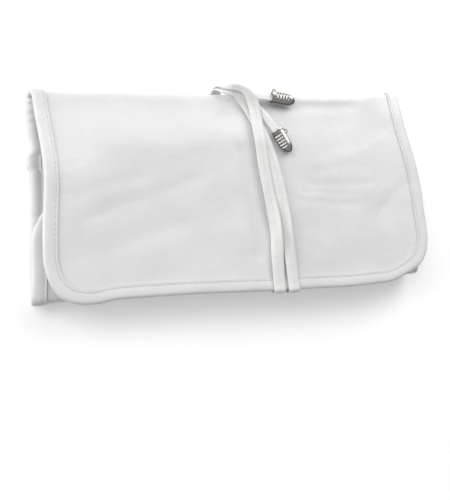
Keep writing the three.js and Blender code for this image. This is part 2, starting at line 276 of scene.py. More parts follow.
@dataclass(frozen=True)
class Crease:
    """A soft dent in the front panel, along a line from one (x, s) to another.

    x is a place along the case, and s is a distance from the top fold over the front.
    """

    x0: float
    s0: float
    x1: float
    s1: float
    width: float
    depth: float

    def at(self, x: np.ndarray, s: np.ndarray) -> np.ndarray:
        """Depth of the dent: a bell of the distance to the line."""
        along = np.array([self.x1 - self.x0, self.s1 - self.s0])
        share = ((x - self.x0) * along[0] + (s - self.s0) * along[1]) / (along @ along)
        share = np.clip(share, 0.0, 1.0)
        far = np.hypot(x - self.x0 - share * along[0], s - self.s0 - share * along[1])
        return self.depth * np.exp(-((far / self.width) ** 2))


@dataclass(frozen=True)
class BentSheet:
    """The sheet of the case, closed: from a place on the flat sheet to a place in space."""

    half_length: float
    front: float
    top: float
    back: float
    fold: float
    inner: float
    y_top: float
    y_low: float
    rise: float
    corner: float = 32.0
    top_radius: float = 6.5
    fold_radius: float = 5.5
    most_drop: float = 6.6
    least_drop: float = 2.6
    droop: float = 4.2
    fold_squeeze: float = 0.07
    creases: tuple[Crease, ...] = ()

    SLOPE_STEP = 0.05
    # Soft unevenness: height, length, seed, and the distances from the middle of the back where it grows
    UNEVEN, UNEVEN_LENGTH, UNEVEN_SEED = 0.22, 38.0, 3
    UNEVEN_FROM = (50.0, 61.0)
    # Distance between rows at a fold, how fast it grows from there, and how far the fold reaches
    FOLD_ROWS, FOLD_GROWTH, FOLD_REACH = 0.55, 0.12, 7.0
    # The same at a free edge
    EDGE_ROWS, EDGE_GROWTH = 0.12, 0.1

    @classmethod
    def from_frame(cls, packed: dict, creases: tuple[Crease, ...]) -> "BentSheet":
        """Reads the sizes of the panels off the frame's joints and boxes.

        Args:
            creases: The dents in the front panel.

        Returns:
            The bent sheet.
        """
        joints = {joint["name"]: joint for joint in packed["joints"]}
        place = {name: np.array(joint["pos_m"]) / MM for name, joint in joints.items()}
        low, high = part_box("binding_front")
        inner_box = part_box("binding_inner")
        y_top = place["top_fold_hinge"][1]
        y_low = place["inner_fold_hinge"][1]
        rise = math.radians(90.0 - joints["front_panel_hinge"]["range_deg"][1])
        return cls(
            half_length=high.x / MM,
            front=(y_top - low.y / MM) / math.cos(rise),
            top=place["front_panel_hinge"][2],
            back=y_top - y_low,
            fold=place["inner_panel_hinge"][2],
            inner=inner_box[1].y / MM - y_low,
            y_top=y_top,
            y_low=y_low,
            rise=rise,
            creases=creases,
        )

    @property
    def fold_lines(self) -> tuple[float, float, float, float]:
        """Where u crosses the four folds, in order."""
        first = self.front
        second = first + self.top
        third = second + self.back
        return first, second, third, third + self.fold

    @property
    def end(self) -> float:
        """u at the free edge of the inner panel."""
        return self.fold_lines[3] + self.inner

    @property
    def splits(self) -> tuple[float, float, float]:
        """Where the pieces are parted: in the middle of the top fold, the back panel and the inner fold."""
        a, b, c, d = self.fold_lines
        return (a + b) / 2, (b + c) / 2, (c + d) / 2

    def outer_face(self, x: np.ndarray, u: np.ndarray) -> np.ndarray:
        """The outer face of the binding, before small dents.

        The section across the case is a chain of five lines. At each fold the heading turns evenly from
        one line's to the next one's, over twice the fold's radius, which draws a parabola. A heading
        shorter than 1 is a panel that is held flatter than it is wide.

        Args:
            x: Places along the case.
            u: Places along the sheet.

        Returns:
            Points, in millimetres.
        """
        a, b, c, d = self.fold_lines
        drop = self.nose_drop(x)
        y_top = self.y_top + self.fold_waver(x)
        zero = 0.0 * (x + u)
        front = (math.cos(self.rise) + zero, -math.sin(self.rise) + zero)
        top = (zero, drop / self.top - 1.0)
        back = (-(y_top - self.y_low) / self.back, zero)
        fold = (zero, 1.0 - self.fold_squeeze * self.near_flap_end(x))
        inner = (1.0 + zero, zero)
        bends = (
            (u - b, self.top_radius, top, back),
            (u - c, self.fold_radius, back, fold),
            (u - d, self.fold_radius, fold, inner),
            (a - u, self.top_radius, front, top),
        )
        y, z = y_top + (u - b) * top[0], (u - b) * top[1]
        for distance, radius, before, after in bends:
            turned = self.turned(distance, radius)
            y, z = y + (after[0] - before[0]) * turned, z + (after[1] - before[1]) * turned
        shift_x, shift_y, shift_z = self.slack(x, u, drop)
        return np.stack([x + shift_x, y + shift_y, z + shift_z], axis=-1)

    @staticmethod
    def turned(distance: np.ndarray, radius: float) -> np.ndarray:
        """Length already laid in the new heading, at a distance past a fold."""
        share = np.clip((distance + radius) / (2 * radius), 0.0, 1.0)
        return radius * share * share + np.maximum(distance - radius, 0.0)

    def near_flap_end(self, x: np.ndarray) -> np.ndarray:
        """1 at the flap end, falling to 0 past the middle."""
        return 1.0 - smooth(x, -self.half_length, 70.0)

    def nose_drop(self, x: np.ndarray) -> np.ndarray:
        """How much flatter than its panel the top fold is squeezed."""
        return self.least_drop + (self.most_drop - self.least_drop) * self.near_flap_end(x)

    def fold_waver(self, x: np.ndarray) -> np.ndarray:
        """How far the top fold strays from straight: up at its ends, down between the tie and the right."""
        flare = 0.34 * self.nose_drop(x) + 1.2 * smooth(x, -107.0, -118.0)
        return flare - 0.4 + 2.6 * smooth(x, 88.0, 104.0) - 0.8 * hill(x, 66.0, 20.0)

    def slack(
        self, x: np.ndarray, u: np.ndarray, drop: np.ndarray
    ) -> tuple[np.ndarray, np.ndarray, np.ndarray]:
        """How far the soft panels stray from their lines.

        Args:
            x: Places along the case.
            u: Places along the sheet.
            drop: How far the top fold is squeezed.

        Returns:
            Shifts along x, y and z.
        """
        a, b, c, d = self.fold_lines
        s = a - u
        flap_side, pocket_side = 1.0 - smooth(x, -118.0, -60.0), smooth(x, 40.0, 118.0)
        on_front = smooth(s, -2.0, 6.0)
        # At the flap end the front is drawn in, and the panels behind it stand out
        left = 4.5 * hill(s, 50.0, 36.0) + 0.6 * smooth(s, 80.0, 100.0)
        behind = -2.2 * smooth(u, a, b) - 3.3 * smooth(u, b, c) + 1.5 * smooth(u, d, self.end)
        # The end edge of the back wavers, with one short lump in it
        lump = smooth(u - b, 35.5, 38.5) * smooth(u - b, 47.0, 44.0)
        end_edge = -0.9 * hill(u - b, 14.0, 11.0) - 1.7 * lump + 0.9 * hill(u - b, 31.0, 4.0)
        end_edge = end_edge - 1.4 * smooth(u - b, 60.0, 118.0) * smooth(u, d + 20.0, d)
        # At the pocket end the front is drawn in beside the fold and stands out towards its free edge
        right = (-2.4 + 5.9 * smooth(s, 12.0, 75.0)) * smooth(u, b + 30.0, b)
        shift_x = flap_side * (left * on_front + behind) + pocket_side * right
        shift_x = shift_x + end_edge * smooth(x, -103.0, -118.0)
        # The free edge is pulled up towards the fold, most beside the flap end, and its corners stray
        pull = 3.2 * smooth(x, -106.0, -78.0) * (1.0 - 0.75 * smooth(x, -60.0, 40.0))
        shift_y = pull * smooth(s, 45.0, 127.0)
        corners = ((-109.0, 118.0, -2.6, 1.2), (111.0, 117.0, 2.2, 1.6))
        for corner_x, corner_s, push_x, push_down in corners:
            near = hill(np.hypot(x - corner_x, s - corner_s), 0.0, 15.0)
            shift_x = shift_x + push_x * near
            shift_y = shift_y - push_down * near
        # From the squeezed fold the front climbs to its full height, with a belly, a sag and a lifted end
        reach = 38.0 + 16.0 * smooth(x, -70.0, -112.0) + 16.0 * smooth(x, 10.0, 60.0)
        climb = drop * smooth(s, 2.0, reach)
        belly = 1.2 * flap_side * hill(s, 62.0, 24.0)
        sag = 1.2 * hill(x, -42.0, 34.0) * hill(s, 78.0, 30.0)
        lift = 2.4 * smooth(x, 92.0, 122.0) * smooth(s, 0.0, 20.0)
        droop = self.droop * (1.0 - smooth(x, -115.0, 5.0)) * smooth(u - d, 5.0, 55.0)
        return shift_x, shift_y, climb + (belly - sag + lift) * on_front - droop

    def dent(self, x: np.ndarray, u: np.ndarray) -> np.ndarray:
        """Depth of the small dents in every layer: creases and soft unevenness."""
        s = self.fold_lines[0] - u
        from_middle = np.abs(u - self.splits[1])
        uneven = self.UNEVEN * (1.0 + ripple(x, u, self.UNEVEN_LENGTH, self.UNEVEN_SEED))
        total = uneven * smooth(from_middle, *self.UNEVEN_FROM)
        for crease in self.creases:
            total = total + crease.at(x, s)
        return total

    def place(self, x: np.ndarray, u: np.ndarray, depth: np.ndarray | float) -> np.ndarray:
        """Points of the closed sheet.

        Args:
            x: Places along the case.
            u: Places along the sheet.
            depth: Distance from the outer face towards the inside.

        Returns:
            The outer face moved along its inward normal, which is the cross product of its slopes along u
            and along x, in millimetres.
        """
        x, u, depth = np.broadcast_arrays(np.asarray(x, float), np.asarray(u, float), depth)
        step = self.SLOPE_STEP
        along_u = self.outer_face(x, u + step) - self.outer_face(x, u - step)
        along_x = self.outer_face(x + step, u) - self.outer_face(x - step, u)
        inward = unit(np.cross(along_u, along_x))
        return self.outer_face(x, u) + inward * (depth + self.dent(x, u))[..., None]

    def inward(self, x: np.ndarray, u: np.ndarray) -> np.ndarray:
        """The sheet's inward normals."""
        return unit(self.place(x, u, 1.0) - self.place(x, u, 0.0))

    def half_width(self, u: np.ndarray, inset: float) -> np.ndarray:
        """Half the sheet's width at u, drawn in by inset, with round corners at its two free edges."""
        radius = self.corner - inset
        from_edge = np.minimum(u, self.end - u)
        return self.half_length - inset - radius + corner_reach(from_edge - inset, radius)

    def stations(self, start: float, end: float, step: float) -> np.ndarray:
        """Values of u from start to end: step apart on the panels, closer at folds and at round corners."""
        dense = np.linspace(start, end, int((end - start) / 0.1) + 2)
        wanted = np.full(dense.shape, step)
        for line in self.fold_lines:
            past = np.maximum(np.abs(dense - line) - self.FOLD_REACH, 0.0)
            wanted = np.minimum(wanted, self.FOLD_ROWS + self.FOLD_GROWTH * past)
        from_edge = np.minimum(dense, self.end - dense)
        wanted = np.minimum(wanted, self.EDGE_ROWS + self.EDGE_GROWTH * from_edge)
        count = np.concatenate([[0.0], np.cumsum(np.diff(dense) / wanted[1:])])
        rows = max(int(math.ceil(count[-1])), 2)
        return np.interp(np.linspace(0.0, count[-1], rows + 1), count, dense)


class Stretch(Enum):
    """The four stretches of the sheet, each with the joint that it bends round."""

    FRONT = ("top_fold", "front_panel")
    TOP = ("back_panel", "top_fold")
    BOTTOM = ("back_panel", "inner_fold")
    INNER = ("inner_fold", "inner_panel")

    @property
    def is_outer(self) -> bool:
        """Whether it ends at a free edge, which has two round corners."""
        return self in (Stretch.FRONT, Stretch.INNER)


@dataclass(frozen=True)
class Carrier:
    """Gives the pieces their spans and tucks on the sheet, and bakes their places."""

    sheet: BentSheet

    # How far a lapping piece runs past a fold's middle, how far it is sunk there, and over what length
    LAP = 0.9
    TUCK = 0.1
    TUCK_LENGTH = 0.3

    def span(self, stretch: Stretch, inset: float = 0.0, lap: float = 0.0) -> tuple[float, float]:
        """First and last u of a stretch, inset from a free edge and lapped past the middle of its fold."""
        first, middle, last = self.sheet.splits
        return {
            Stretch.FRONT: (inset, first + lap),
            Stretch.TOP: (first - lap, middle),
            Stretch.BOTTOM: (middle, last + lap),
            Stretch.INNER: (last - lap, self.sheet.end - inset),
        }[stretch]

    def tuck(self, stretch: Stretch, u: np.ndarray) -> np.ndarray:
        """How far the faces of a lapping end are sunk, so that they stay inside the piece that it laps."""
        first, _, last = self.sheet.splits
        past = {
            Stretch.FRONT: u - first,
            Stretch.TOP: first - u,
            Stretch.BOTTOM: u - last,
            Stretch.INNER: last - u,
        }[stretch]
        return self.TUCK * smooth(past, 0.0, self.TUCK_LENGTH)

    def bend(self, piece: bpy.types.Object, stretch: Stretch) -> None:
        """Bakes a piece's place into its mesh."""
        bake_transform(piece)


# Finishes


Socket = bpy.types.NodeSocket
Colour = tuple[float, float, float]
PER_METRE = 1000.0


class Graph:
    """A short way to write a material's nodes."""

    def __init__(self, name: str) -> None:
        """Starts a material with one shader and one output."""
        self.material = bpy.data.materials.new(name)
        self.material.use_nodes = True
        self.tree = self.material.node_tree
        self.tree.nodes.clear()
        self.shader = self.node("ShaderNodeBsdfPrincipled")
        output = self.node("ShaderNodeOutputMaterial")
        self.link(self.shader.outputs["BSDF"], output.inputs["Surface"])
        self.coordinates = self.node("ShaderNodeTexCoord")

    def node(self, kind: str, **settings: object) -> bpy.types.Node:
        """Adds a node and sets its properties and inputs by name."""
        made = self.tree.nodes.new(kind)
        for key, value in settings.items():
            if key in made.inputs:
                made.inputs[key].default_value = value
            else:
                setattr(made, key, value)
        return made

    def link(self, source: Socket, target: Socket) -> None:
        """Links a socket to a socket."""
        self.tree.links.new(source, target)

    def drive(self, name: str, source: Socket) -> None:
        """Links a socket to an input of the shader."""
        self.link(source, self.shader.inputs[name])

    def fix(self, values: dict[str, float | tuple[float, ...]]) -> None:
        """Sets inputs of the shader."""
        for name, value in values.items():
            self.shader.inputs[name].default_value = value

    def noise(self, where: Socket, scale: float, detail: float = 2.0, roughness: float = 0.5) -> Socket:
        """A noise value; scale is waves in a metre."""
        made = self.node("ShaderNodeTexNoise", Scale=scale, Detail=detail, Roughness=roughness)
        self.link(where, made.inputs["Vector"])
        return made.outputs["Fac"]

    def cells(self, where: Socket, scale: float) -> Socket:
        """Distance to the nearest cell centre; scale is cells in a metre."""
        made = self.node("ShaderNodeTexVoronoi", Scale=scale)
        self.link(where, made.inputs["Vector"])
        return made.outputs["Distance"]

    def ramp(
        self, value: Socket, low: float, high: float, from_low: float = 0.3, from_high: float = 0.7
    ) -> Socket:
        """A value spread from one range to another, held at its ends."""
        made = self.node("ShaderNodeMapRange")
        ends = {"From Min": from_low, "From Max": from_high, "To Min": low, "To Max": high}
        for name, end in ends.items():
            made.inputs[name].default_value = end
        self.link(value, made.inputs["Value"])
        return made.outputs["Result"]

    def blend(self, share: Socket, first: Colour, second: Colour) -> Socket:
        """A colour between two, by a share."""
        made = self.node("ShaderNodeMix", data_type="RGBA")
        made.inputs["A"].default_value = (*first, 1.0)
        made.inputs["B"].default_value = (*second, 1.0)
        self.link(share, made.inputs["Factor"])
        return made.outputs["Result"]

    def bump(self, height: Socket, distance: float, below: Socket | None = None) -> Socket:
        """A bump of a height in metres, over another."""
        made = self.node("ShaderNodeBump", Strength=1.0, Distance=distance)
        self.link(height, made.inputs["Height"])
        if below is not None:
            self.link(below, made.inputs["Normal"])
        return made.outputs["Normal"]


@dataclass(frozen=True)
class Leather:
    """Satin artificial leather: fine grain, soft crumple, and pearly patches of a size in millimetres."""

    name: str
    light: Colour
    dark: Colour
    smoothest: float = 0.38
    roughest: float = 0.5
    patch: float = 22.0
    crumple: float = 0.0002
    grain: float = 0.00003
    on_layout: bool = True

    GLOSS = {
        "Sheen Weight": 0.12,
        "Sheen Roughness": 0.4,
        "Coat Weight": 0.12,
        "Coat Roughness": 0.35,
    }
    PATCH_NOISE = {"detail": 4.0, "roughness": 0.6}
    CRUMPLE_NOISE = {"scale": 95.0, "detail": 5.0, "roughness": 0.6}
    GRAIN_CELLS = 1250.0

    def make(self) -> bpy.types.Material:
        """Builds the material."""
        g = Graph(self.name)
        where = g.coordinates.outputs["UV" if self.on_layout else "Object"]
        patches = g.noise(where, PER_METRE / self.patch, **self.PATCH_NOISE)
        g.drive("Base Color", g.blend(g.ramp(patches, 0.0, 1.0), self.dark, self.light))
        g.drive("Roughness", g.ramp(patches, self.roughest, self.smoothest))
        g.fix(self.GLOSS)
        soft = g.bump(g.noise(where, **self.CRUMPLE_NOISE), self.crumple)
        g.drive("Normal", g.bump(g.cells(where, self.GRAIN_CELLS), self.grain, below=soft))
        return g.material


@dataclass(frozen=True)
class Cloth:
    """Smooth pale cloth with a fine plain weave; its thread pitch is in millimetres."""

    name: str
    light: Colour
    dark: Colour
    roughness: float = 0.8
    thread_pitch: float = 0.45
    weave: float = 0.000012
    crumple: float = 0.0006

    # Scale of a wave texture that draws one wave in one unit of length
    WAVE_AT_SCALE_1 = 0.31416
    SHEEN = 0.25
    PATCH_NOISE = {"scale": 60.0, "detail": 3.0}
    CRUMPLE_NOISE = {"scale": 70.0, "detail": 3.0}

    def make(self) -> bpy.types.Material:
        """Builds the material."""
        g = Graph(self.name)
        where = g.coordinates.outputs["UV"]
        patches = g.noise(where, **self.PATCH_NOISE)
        g.drive("Base Color", g.blend(g.ramp(patches, 0.0, 1.0), self.dark, self.light))
        g.fix({"Roughness": self.roughness, "Sheen Weight": self.SHEEN})
        soft = g.bump(g.noise(where, **self.CRUMPLE_NOISE), self.crumple)
        waves = self.WAVE_AT_SCALE_1 * PER_METRE / self.thread_pitch
        both = g.node("ShaderNodeMath", operation="ADD")
        for direction, entry in zip(("X", "Y"), both.inputs):
            wave = g.node("ShaderNodeTexWave", Scale=waves, bands_direction=direction)
            g.link(where, wave.inputs["Vector"])
            g.link(wave.outputs["Fac"], entry)
        g.drive("Normal", g.bump(both.outputs[0], self.weave, below=soft))
        return g.material


@dataclass(frozen=True)
class Nickel:
    """Bright nickel with faint rubbing."""

    name: str = "bright_nickel"
    dark: Colour = (0.34, 0.325, 0.315)
    light: Colour = (0.50, 0.485, 0.47)
    smoothest: float = 0.18
    roughest: float = 0.3
    dents: float = 0.00002

    RUB_NOISE = {"scale": 900.0, "detail": 3.0}
    DENT_NOISE = {"scale": 1800.0}

    def make(self) -> bpy.types.Material:
        """Builds the material."""
        g = Graph(self.name)
        where = g.coordinates.outputs["Object"]
        rub = g.noise(where, **self.RUB_NOISE)
        g.drive("Base Color", g.blend(rub, self.dark, self.light))
        g.fix({"Metallic": 1.0})
        g.drive("Roughness", g.ramp(rub, self.smoothest, self.roughest))
        g.drive("Normal", g.bump(g.noise(where, **self.DENT_NOISE), self.dents))
        return g.material


@dataclass(frozen=True)
class Thread:
    """Sewing thread."""

    name: str
    colour: Colour
    roughness: float = 0.7
    fuzz: float = 0.00008

    DARKEST = 0.88
    SHADE_NOISE = {"scale": 2200.0, "detail": 2.0}

    def make(self) -> bpy.types.Material:
        """Builds the material."""
        g = Graph(self.name)
        shade = g.noise(g.coordinates.outputs["Object"], **self.SHADE_NOISE)
        darker = tuple(self.DARKEST * value for value in self.colour)
        g.drive("Base Color", g.blend(shade, darker, self.colour))
        g.fix({"Roughness": self.roughness})
        g.drive("Normal", g.bump(shade, self.fuzz))
        return g.material


@dataclass(frozen=True)
class Paper:
    """The plain pale floor.

    It glows a little, and more where the lights no longer reach, so that it stays white. The glow grows
    between two distances from the case, in metres.
    """

    name: str = "floor_paper"
    dark: Colour = (0.85, 0.85, 0.85)
    light: Colour = (0.87, 0.87, 0.87)
    roughness: float = 0.9
    glow: float = 0.24
    far_glow: float = 1.1
    near: float = 0.25
    far: float = 0.8

    SHADE_NOISE = {"scale": 3.0}

    def make(self) -> bpy.types.Material:
        """Builds the material."""
        g = Graph(self.name)
        where = g.coordinates.outputs["Object"]
        g.drive("Base Color", g.blend(g.noise(where, **self.SHADE_NOISE), self.dark, self.light))
        g.fix({"Roughness": self.roughness, "Emission Color": (1.0, 1.0, 1.0, 1.0)})
        distance = g.node("ShaderNodeVectorMath", operation="LENGTH")
        g.link(where, distance.inputs[0])
        glow = g.ramp(distance.outputs["Value"], self.glow, self.far_glow, self.near, self.far)
        g.drive("Emission Strength", glow)
        return g.material


class Finishes:
    """Every finish of the case, made once."""

    def __init__(self) -> None:
        """Builds the materials."""
        loose = {"on_layout": False}
        self.cover = Leather("pearl_leather", (0.70, 0.70, 0.70), (0.66, 0.66, 0.66), crumple=0.0003).make()
        tape_colours = (0.70, 0.70, 0.695), (0.66, 0.66, 0.655)
        self.binding = Leather("binding_leather", *tape_colours, patch=9.0, **loose).make()
        strap_colours = (0.75, 0.75, 0.74), (0.69, 0.69, 0.68)
        self.strap = Leather("strap_leather", *strap_colours, patch=7.0, **loose).make()
        self.lining = Cloth("lining_cloth", (0.74, 0.73, 0.80), (0.70, 0.69, 0.76)).make()
        self.pocket = Cloth("pocket_fabric", (0.78, 0.77, 0.84), (0.74, 0.73, 0.80)).make()
        self.flap = Cloth("flap_fabric", (0.80, 0.79, 0.86), (0.76, 0.75, 0.82), crumple=0.0004).make()
        self.thread = Thread("white_thread", (0.60, 0.60, 0.58)).make()
        self.nickel = Nickel().make()
        self.floor = Paper().make()


# Sewn pieces


def dress(
    piece: bpy.types.Object, finish: bpy.types.Material, slot: str, *nodes: str
) -> bpy.types.Object:
    """Gives a piece its finish, and hides the nodes of the part that it replaces."""
    piece.data.materials.append(finish)
    if nodes:
        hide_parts(*nodes)
    return piece


class SubAssembly:
    """Pieces that belong together on the sheet."""

    def __init__(self, carrier: Carrier, finishes: Finishes) -> None:
        """Keeps what carries and dresses the pieces.

        Args:
            carrier: Gives the pieces their spans and tucks.
            finishes: The materials.
        """
        self.carrier = carrier
        self.sheet = carrier.sheet
        self.finishes = finishes

    def build(self) -> list[bpy.types.Object]:
        """Builds the pieces.

        Returns:
            The objects.
        """
        raise NotImplementedError

    def slab(
        self, name: str, x: np.ndarray, u: np.ndarray, depths: tuple[np.ndarray, np.ndarray]
    ) -> bpy.types.Object:
        """A closed piece between two depths, with its places on the flat sheet as its layout.

        Args:
            name: The piece's name.
            x: A grid of places along the case.
            u: A grid of places along the sheet.
            depths: Its two faces' depths on the grid.

        Returns:
            The object.
        """
        faces = [self.sheet.place(x, u, depth).reshape(-1, 3) for depth in depths]
        layout = np.tile(np.stack([x.ravel(), u.ravel()], axis=1) * MM, (2, 1))
        return make_object(name, np.concatenate(faces) * MM, shell_quads(*x.shape), layout, SKIN_ANGLE)

    def stitched(self, name: str, parts: list[Shell], slot: str) -> bpy.types.Object:
        """Rows of stitches as one piece of thread."""
        return dress(make_object(name, *joined(parts)), self.finishes.thread, slot)


@dataclass(frozen=True)
class Layer:
    """One layer of the sheet.

    It has a name, the depths of its two faces, its inset from the bound edge, its slot, the distance between
    its rows, the height of its crumples and how far it laps past the middle of a fold.
    """

    name: str
    outer: float
    inner: float
    inset: float
    slot: str
    step: float
    crumple: float = 0.0
    lap: float = 0.0


class Panels(SubAssembly):
    """The cover and the lining, each in four skins that bend round the four folds."""

    COVER = Layer("cover", 0.95, 1.85, 0.95, "cover", 1.5)
    LINING = Layer("lining", 2.1, 2.6, 0.95, "lining", 2.2, crumple=0.4, lap=Carrier.LAP)
    NODES = {
        Stretch.FRONT: ("front", "top_fold"),
        Stretch.TOP: ("top_fold", "back"),
        Stretch.BOTTOM: ("back", "inner_fold"),
        Stretch.INNER: ("inner_fold", "inner"),
    }
    CRUMPLE_LENGTH, CRUMPLE_SEED = 9.0, 11
    # x where a layer is fully crumpled, at the flap end, and where it is calm
    CRUMPLED, CALM = -112.0, -60.0

    def build(self) -> list[bpy.types.Object]:
        """Builds every skin.

        Returns:
            The eight objects.
        """
        made = []
        for layer, finish in ((self.COVER, self.finishes.cover), (self.LINING, self.finishes.lining)):
            for stretch in Stretch:
                nodes = (f"{layer.name}_{panel}" for panel in self.NODES[stretch])
                skin = dress(self.skin(layer, stretch), finish, layer.slot, *nodes)
                self.carrier.bend(skin, stretch)
                self.declare(skin, layer, stretch)
                made.append(skin)
        return made

    def declare(self, skin: bpy.types.Object, layer: Layer, stretch: Stretch) -> None:
        """Works out the span that the skin was cut to; nothing is done with it."""
        start, end = self.carrier.span(stretch, layer.inset, layer.lap)

    def skin(self, layer: Layer, stretch: Stretch) -> bpy.types.Object:
        """One skin: a grid of x by u at two depths, closed round its rim."""
        start, end = self.carrier.span(stretch, layer.inset, layer.lap)
        u = self.sheet.stations(start, end, layer.step)
        columns = int(2 * self.sheet.half_length / layer.step) + 1
        x = self.sheet.half_width(u, layer.inset)[:, None] * np.linspace(-1.0, 1.0, columns)[None, :]
        uu = np.broadcast_to(u[:, None], x.shape)
        loose = 1.0 - smooth(x, self.CRUMPLED, self.CALM)
        extra = layer.crumple * ripple(x, uu, self.CRUMPLE_LENGTH, self.CRUMPLE_SEED) * loose
        tuck = self.carrier.tuck(stretch, uu)
        depths = (layer.outer + tuck + extra, layer.inner - tuck + extra)
        return self.slab(f"{layer.name}_{stretch.name.lower()}_skin", x, uu, depths)


@dataclass(frozen=True)
class Tape:
    """A folded tape that binds an edge.

    It has a width on both faces, a wall, and the depths of its two faces. Its seam lies at a distance from
    the edge, in a groove.
    """

    width: float
    wall: float
    outer: float
    inner: float
    seam: float
    groove: float

    # Points of a face, as shares of the width, and the number of points round the folded edge
    REACHES = (1.0, 0.985, 0.93, 0.86, 0.82, 0.78, 0.6, 0.4)
    ROUND_POINTS = 9
    # The folded edge is this many times as deep as a half circle
    DEEPER = 1.15
    GROOVE_WIDTH = 0.9
    # How far the cut rim is sunk, and the share of the width where it starts
    RIM_SUNK, RIM_FROM = 0.12, 0.97
    # How much of the sinking shows on the inside of the wall
    INSIDE_SHARE = 0.5
    # Where a pucker is highest and how wide it is, as shares of the width
    SWELL_AT, SWELL_WIDTH = 0.45, 0.3
    # The even and the wavy share of a pucker
    EVEN_SHARE, WAVY_SHARE = 0.6, 0.4
    # On the outer face a pucker shows this share of its height, and at most this many millimetres
    OUTER_SHARE, MOST_OUTER_SWELL = 0.35, 0.06

    @property
    def middle(self) -> float:
        """Depth halfway between its faces."""
        return (self.outer + self.inner) / 2

    def section(self) -> tuple[np.ndarray, np.ndarray]:
        """The closed section of the tape.

        Returns:
            Distances inwards from the edge and depths. The outside runs over a half round at the edge, and
            the inside follows it one wall further in. A shallow groove holds the seam.
        """
        radius = (self.inner - self.outer) / 2
        reach = np.array(self.REACHES) * self.width
        sunk = self.groove * hill(reach, self.seam, self.GROOVE_WIDTH)
        sunk = sunk + self.RIM_SUNK * (reach > self.RIM_FROM * self.width)
        turn = np.linspace(-math.pi / 2, math.pi / 2, self.ROUND_POINTS)
        cos, sin = np.cos(turn), np.sin(turn)
        flat, thin = radius * self.DEEPER, radius - self.wall
        q_out = [reach, flat - flat * cos, reach[::-1]]
        n_out = [self.outer + sunk, self.middle + radius * sin, self.inner - sunk[::-1]]
        q_in = [reach, flat - (flat - self.wall) * cos, reach[::-1]]
        n_in = [
            self.outer + self.wall + self.INSIDE_SHARE * sunk,
            self.middle + thin * sin,
            self.inner - self.wall - self.INSIDE_SHARE * sunk[::-1],
        ]
        q = np.concatenate([*q_out, np.concatenate(q_in)[::-1]])
        return q, np.concatenate([*n_out, np.concatenate(n_in)[::-1]])


@dataclass(frozen=True)
class EdgeRun:
    """A run along an edge: its points on the flat sheet and the directions that point inwards."""

    x: np.ndarray
    u: np.ndarray
    inward_x: np.ndarray
    inward_u: np.ndarray

    @property
    def length(self) -> np.ndarray:
        """Distance along the run at each point."""
        steps = np.hypot(np.diff(self.x), np.diff(self.u))
        return np.concatenate([[0.0], np.cumsum(steps)])

    def spaced(self, pitch: float, margin: float) -> "EdgeRun":
        """The run again, at points one pitch apart and a margin from its ends."""
        length = self.length
        at = np.arange(margin, length[-1] - margin, pitch)
        values = [np.interp(at, length, v) for v in (self.x, self.u, self.inward_x, self.inward_u)]
        x, u, inward_x, inward_u = values
        scale = np.hypot(inward_x, inward_u)
        return EdgeRun(x, u, inward_x / scale, inward_u / scale)

    def offset(self, inwards: float) -> tuple[np.ndarray, np.ndarray]:
        """x and u of the run, moved inwards."""
        return self.x + inwards * self.inward_x, self.u + inwards * self.inward_u


def side_run(sheet: BentSheet, start: float, end: float, sign: float, x: float, step: float) -> EdgeRun:
    """A straight run along u at the end of the case that sign names."""
    u = sheet.stations(min(start, end), max(start, end), step)
    u = u if start < end else u[::-1]
    ones = np.ones_like(u)
    return EdgeRun(sign * x * ones, u, -sign * ones, 0.0 * ones)


CORNER_POINTS = 18


def free_edge_run(
    sheet: BentSheet,
    split: float,
    edge: float,
    half: float,
    radius: float,
    step: float,
    left: float | None = None,
) -> EdgeRun:
    """A run down one side, round a free edge with round corners, and up the other side.

    Args:
        sheet: The sheet.
        split: u where the run starts and ends.
        edge: u of the free edge.
        half: x of the run's two sides.
        radius: Radius of its corners.
        step: Distance between its points.
        left: x of its left side, where it isn't -half.

    Returns:
        The run, from the right side to the left.
    """
    left = -half if left is None else left
    sign = 1.0 if edge < split else -1.0
    bend = edge + sign * radius
    u = sheet.stations(min(split, bend), max(split, bend), step)
    down = u[::-1] if sign > 0 else u
    quarter = np.linspace(0.0, math.pi / 2, CORNER_POINTS)
    cos, sin = np.cos(quarter), np.sin(quarter)
    corner_x, corner_u = radius * cos, bend - sign * radius * sin
    count = int((half - left - 2 * radius) / step) + 2
    across = np.linspace(half - radius, left + radius, count)[1:-1]
    parts = (
        (half, down, -1.0, 0.0),
        (half - radius + corner_x[1:], corner_u[1:], -cos[1:], sign * sin[1:]),
        (across, edge, 0.0, sign),
        (left + radius - corner_x[::-1], corner_u[::-1], cos[::-1], sign * sin[::-1]),
        (left, down[::-1][1:], 1.0, 0.0),
    )
    columns = zip(*(np.broadcast_arrays(*part) for part in parts))
    return EdgeRun(*(np.concatenate(column) for column in columns))


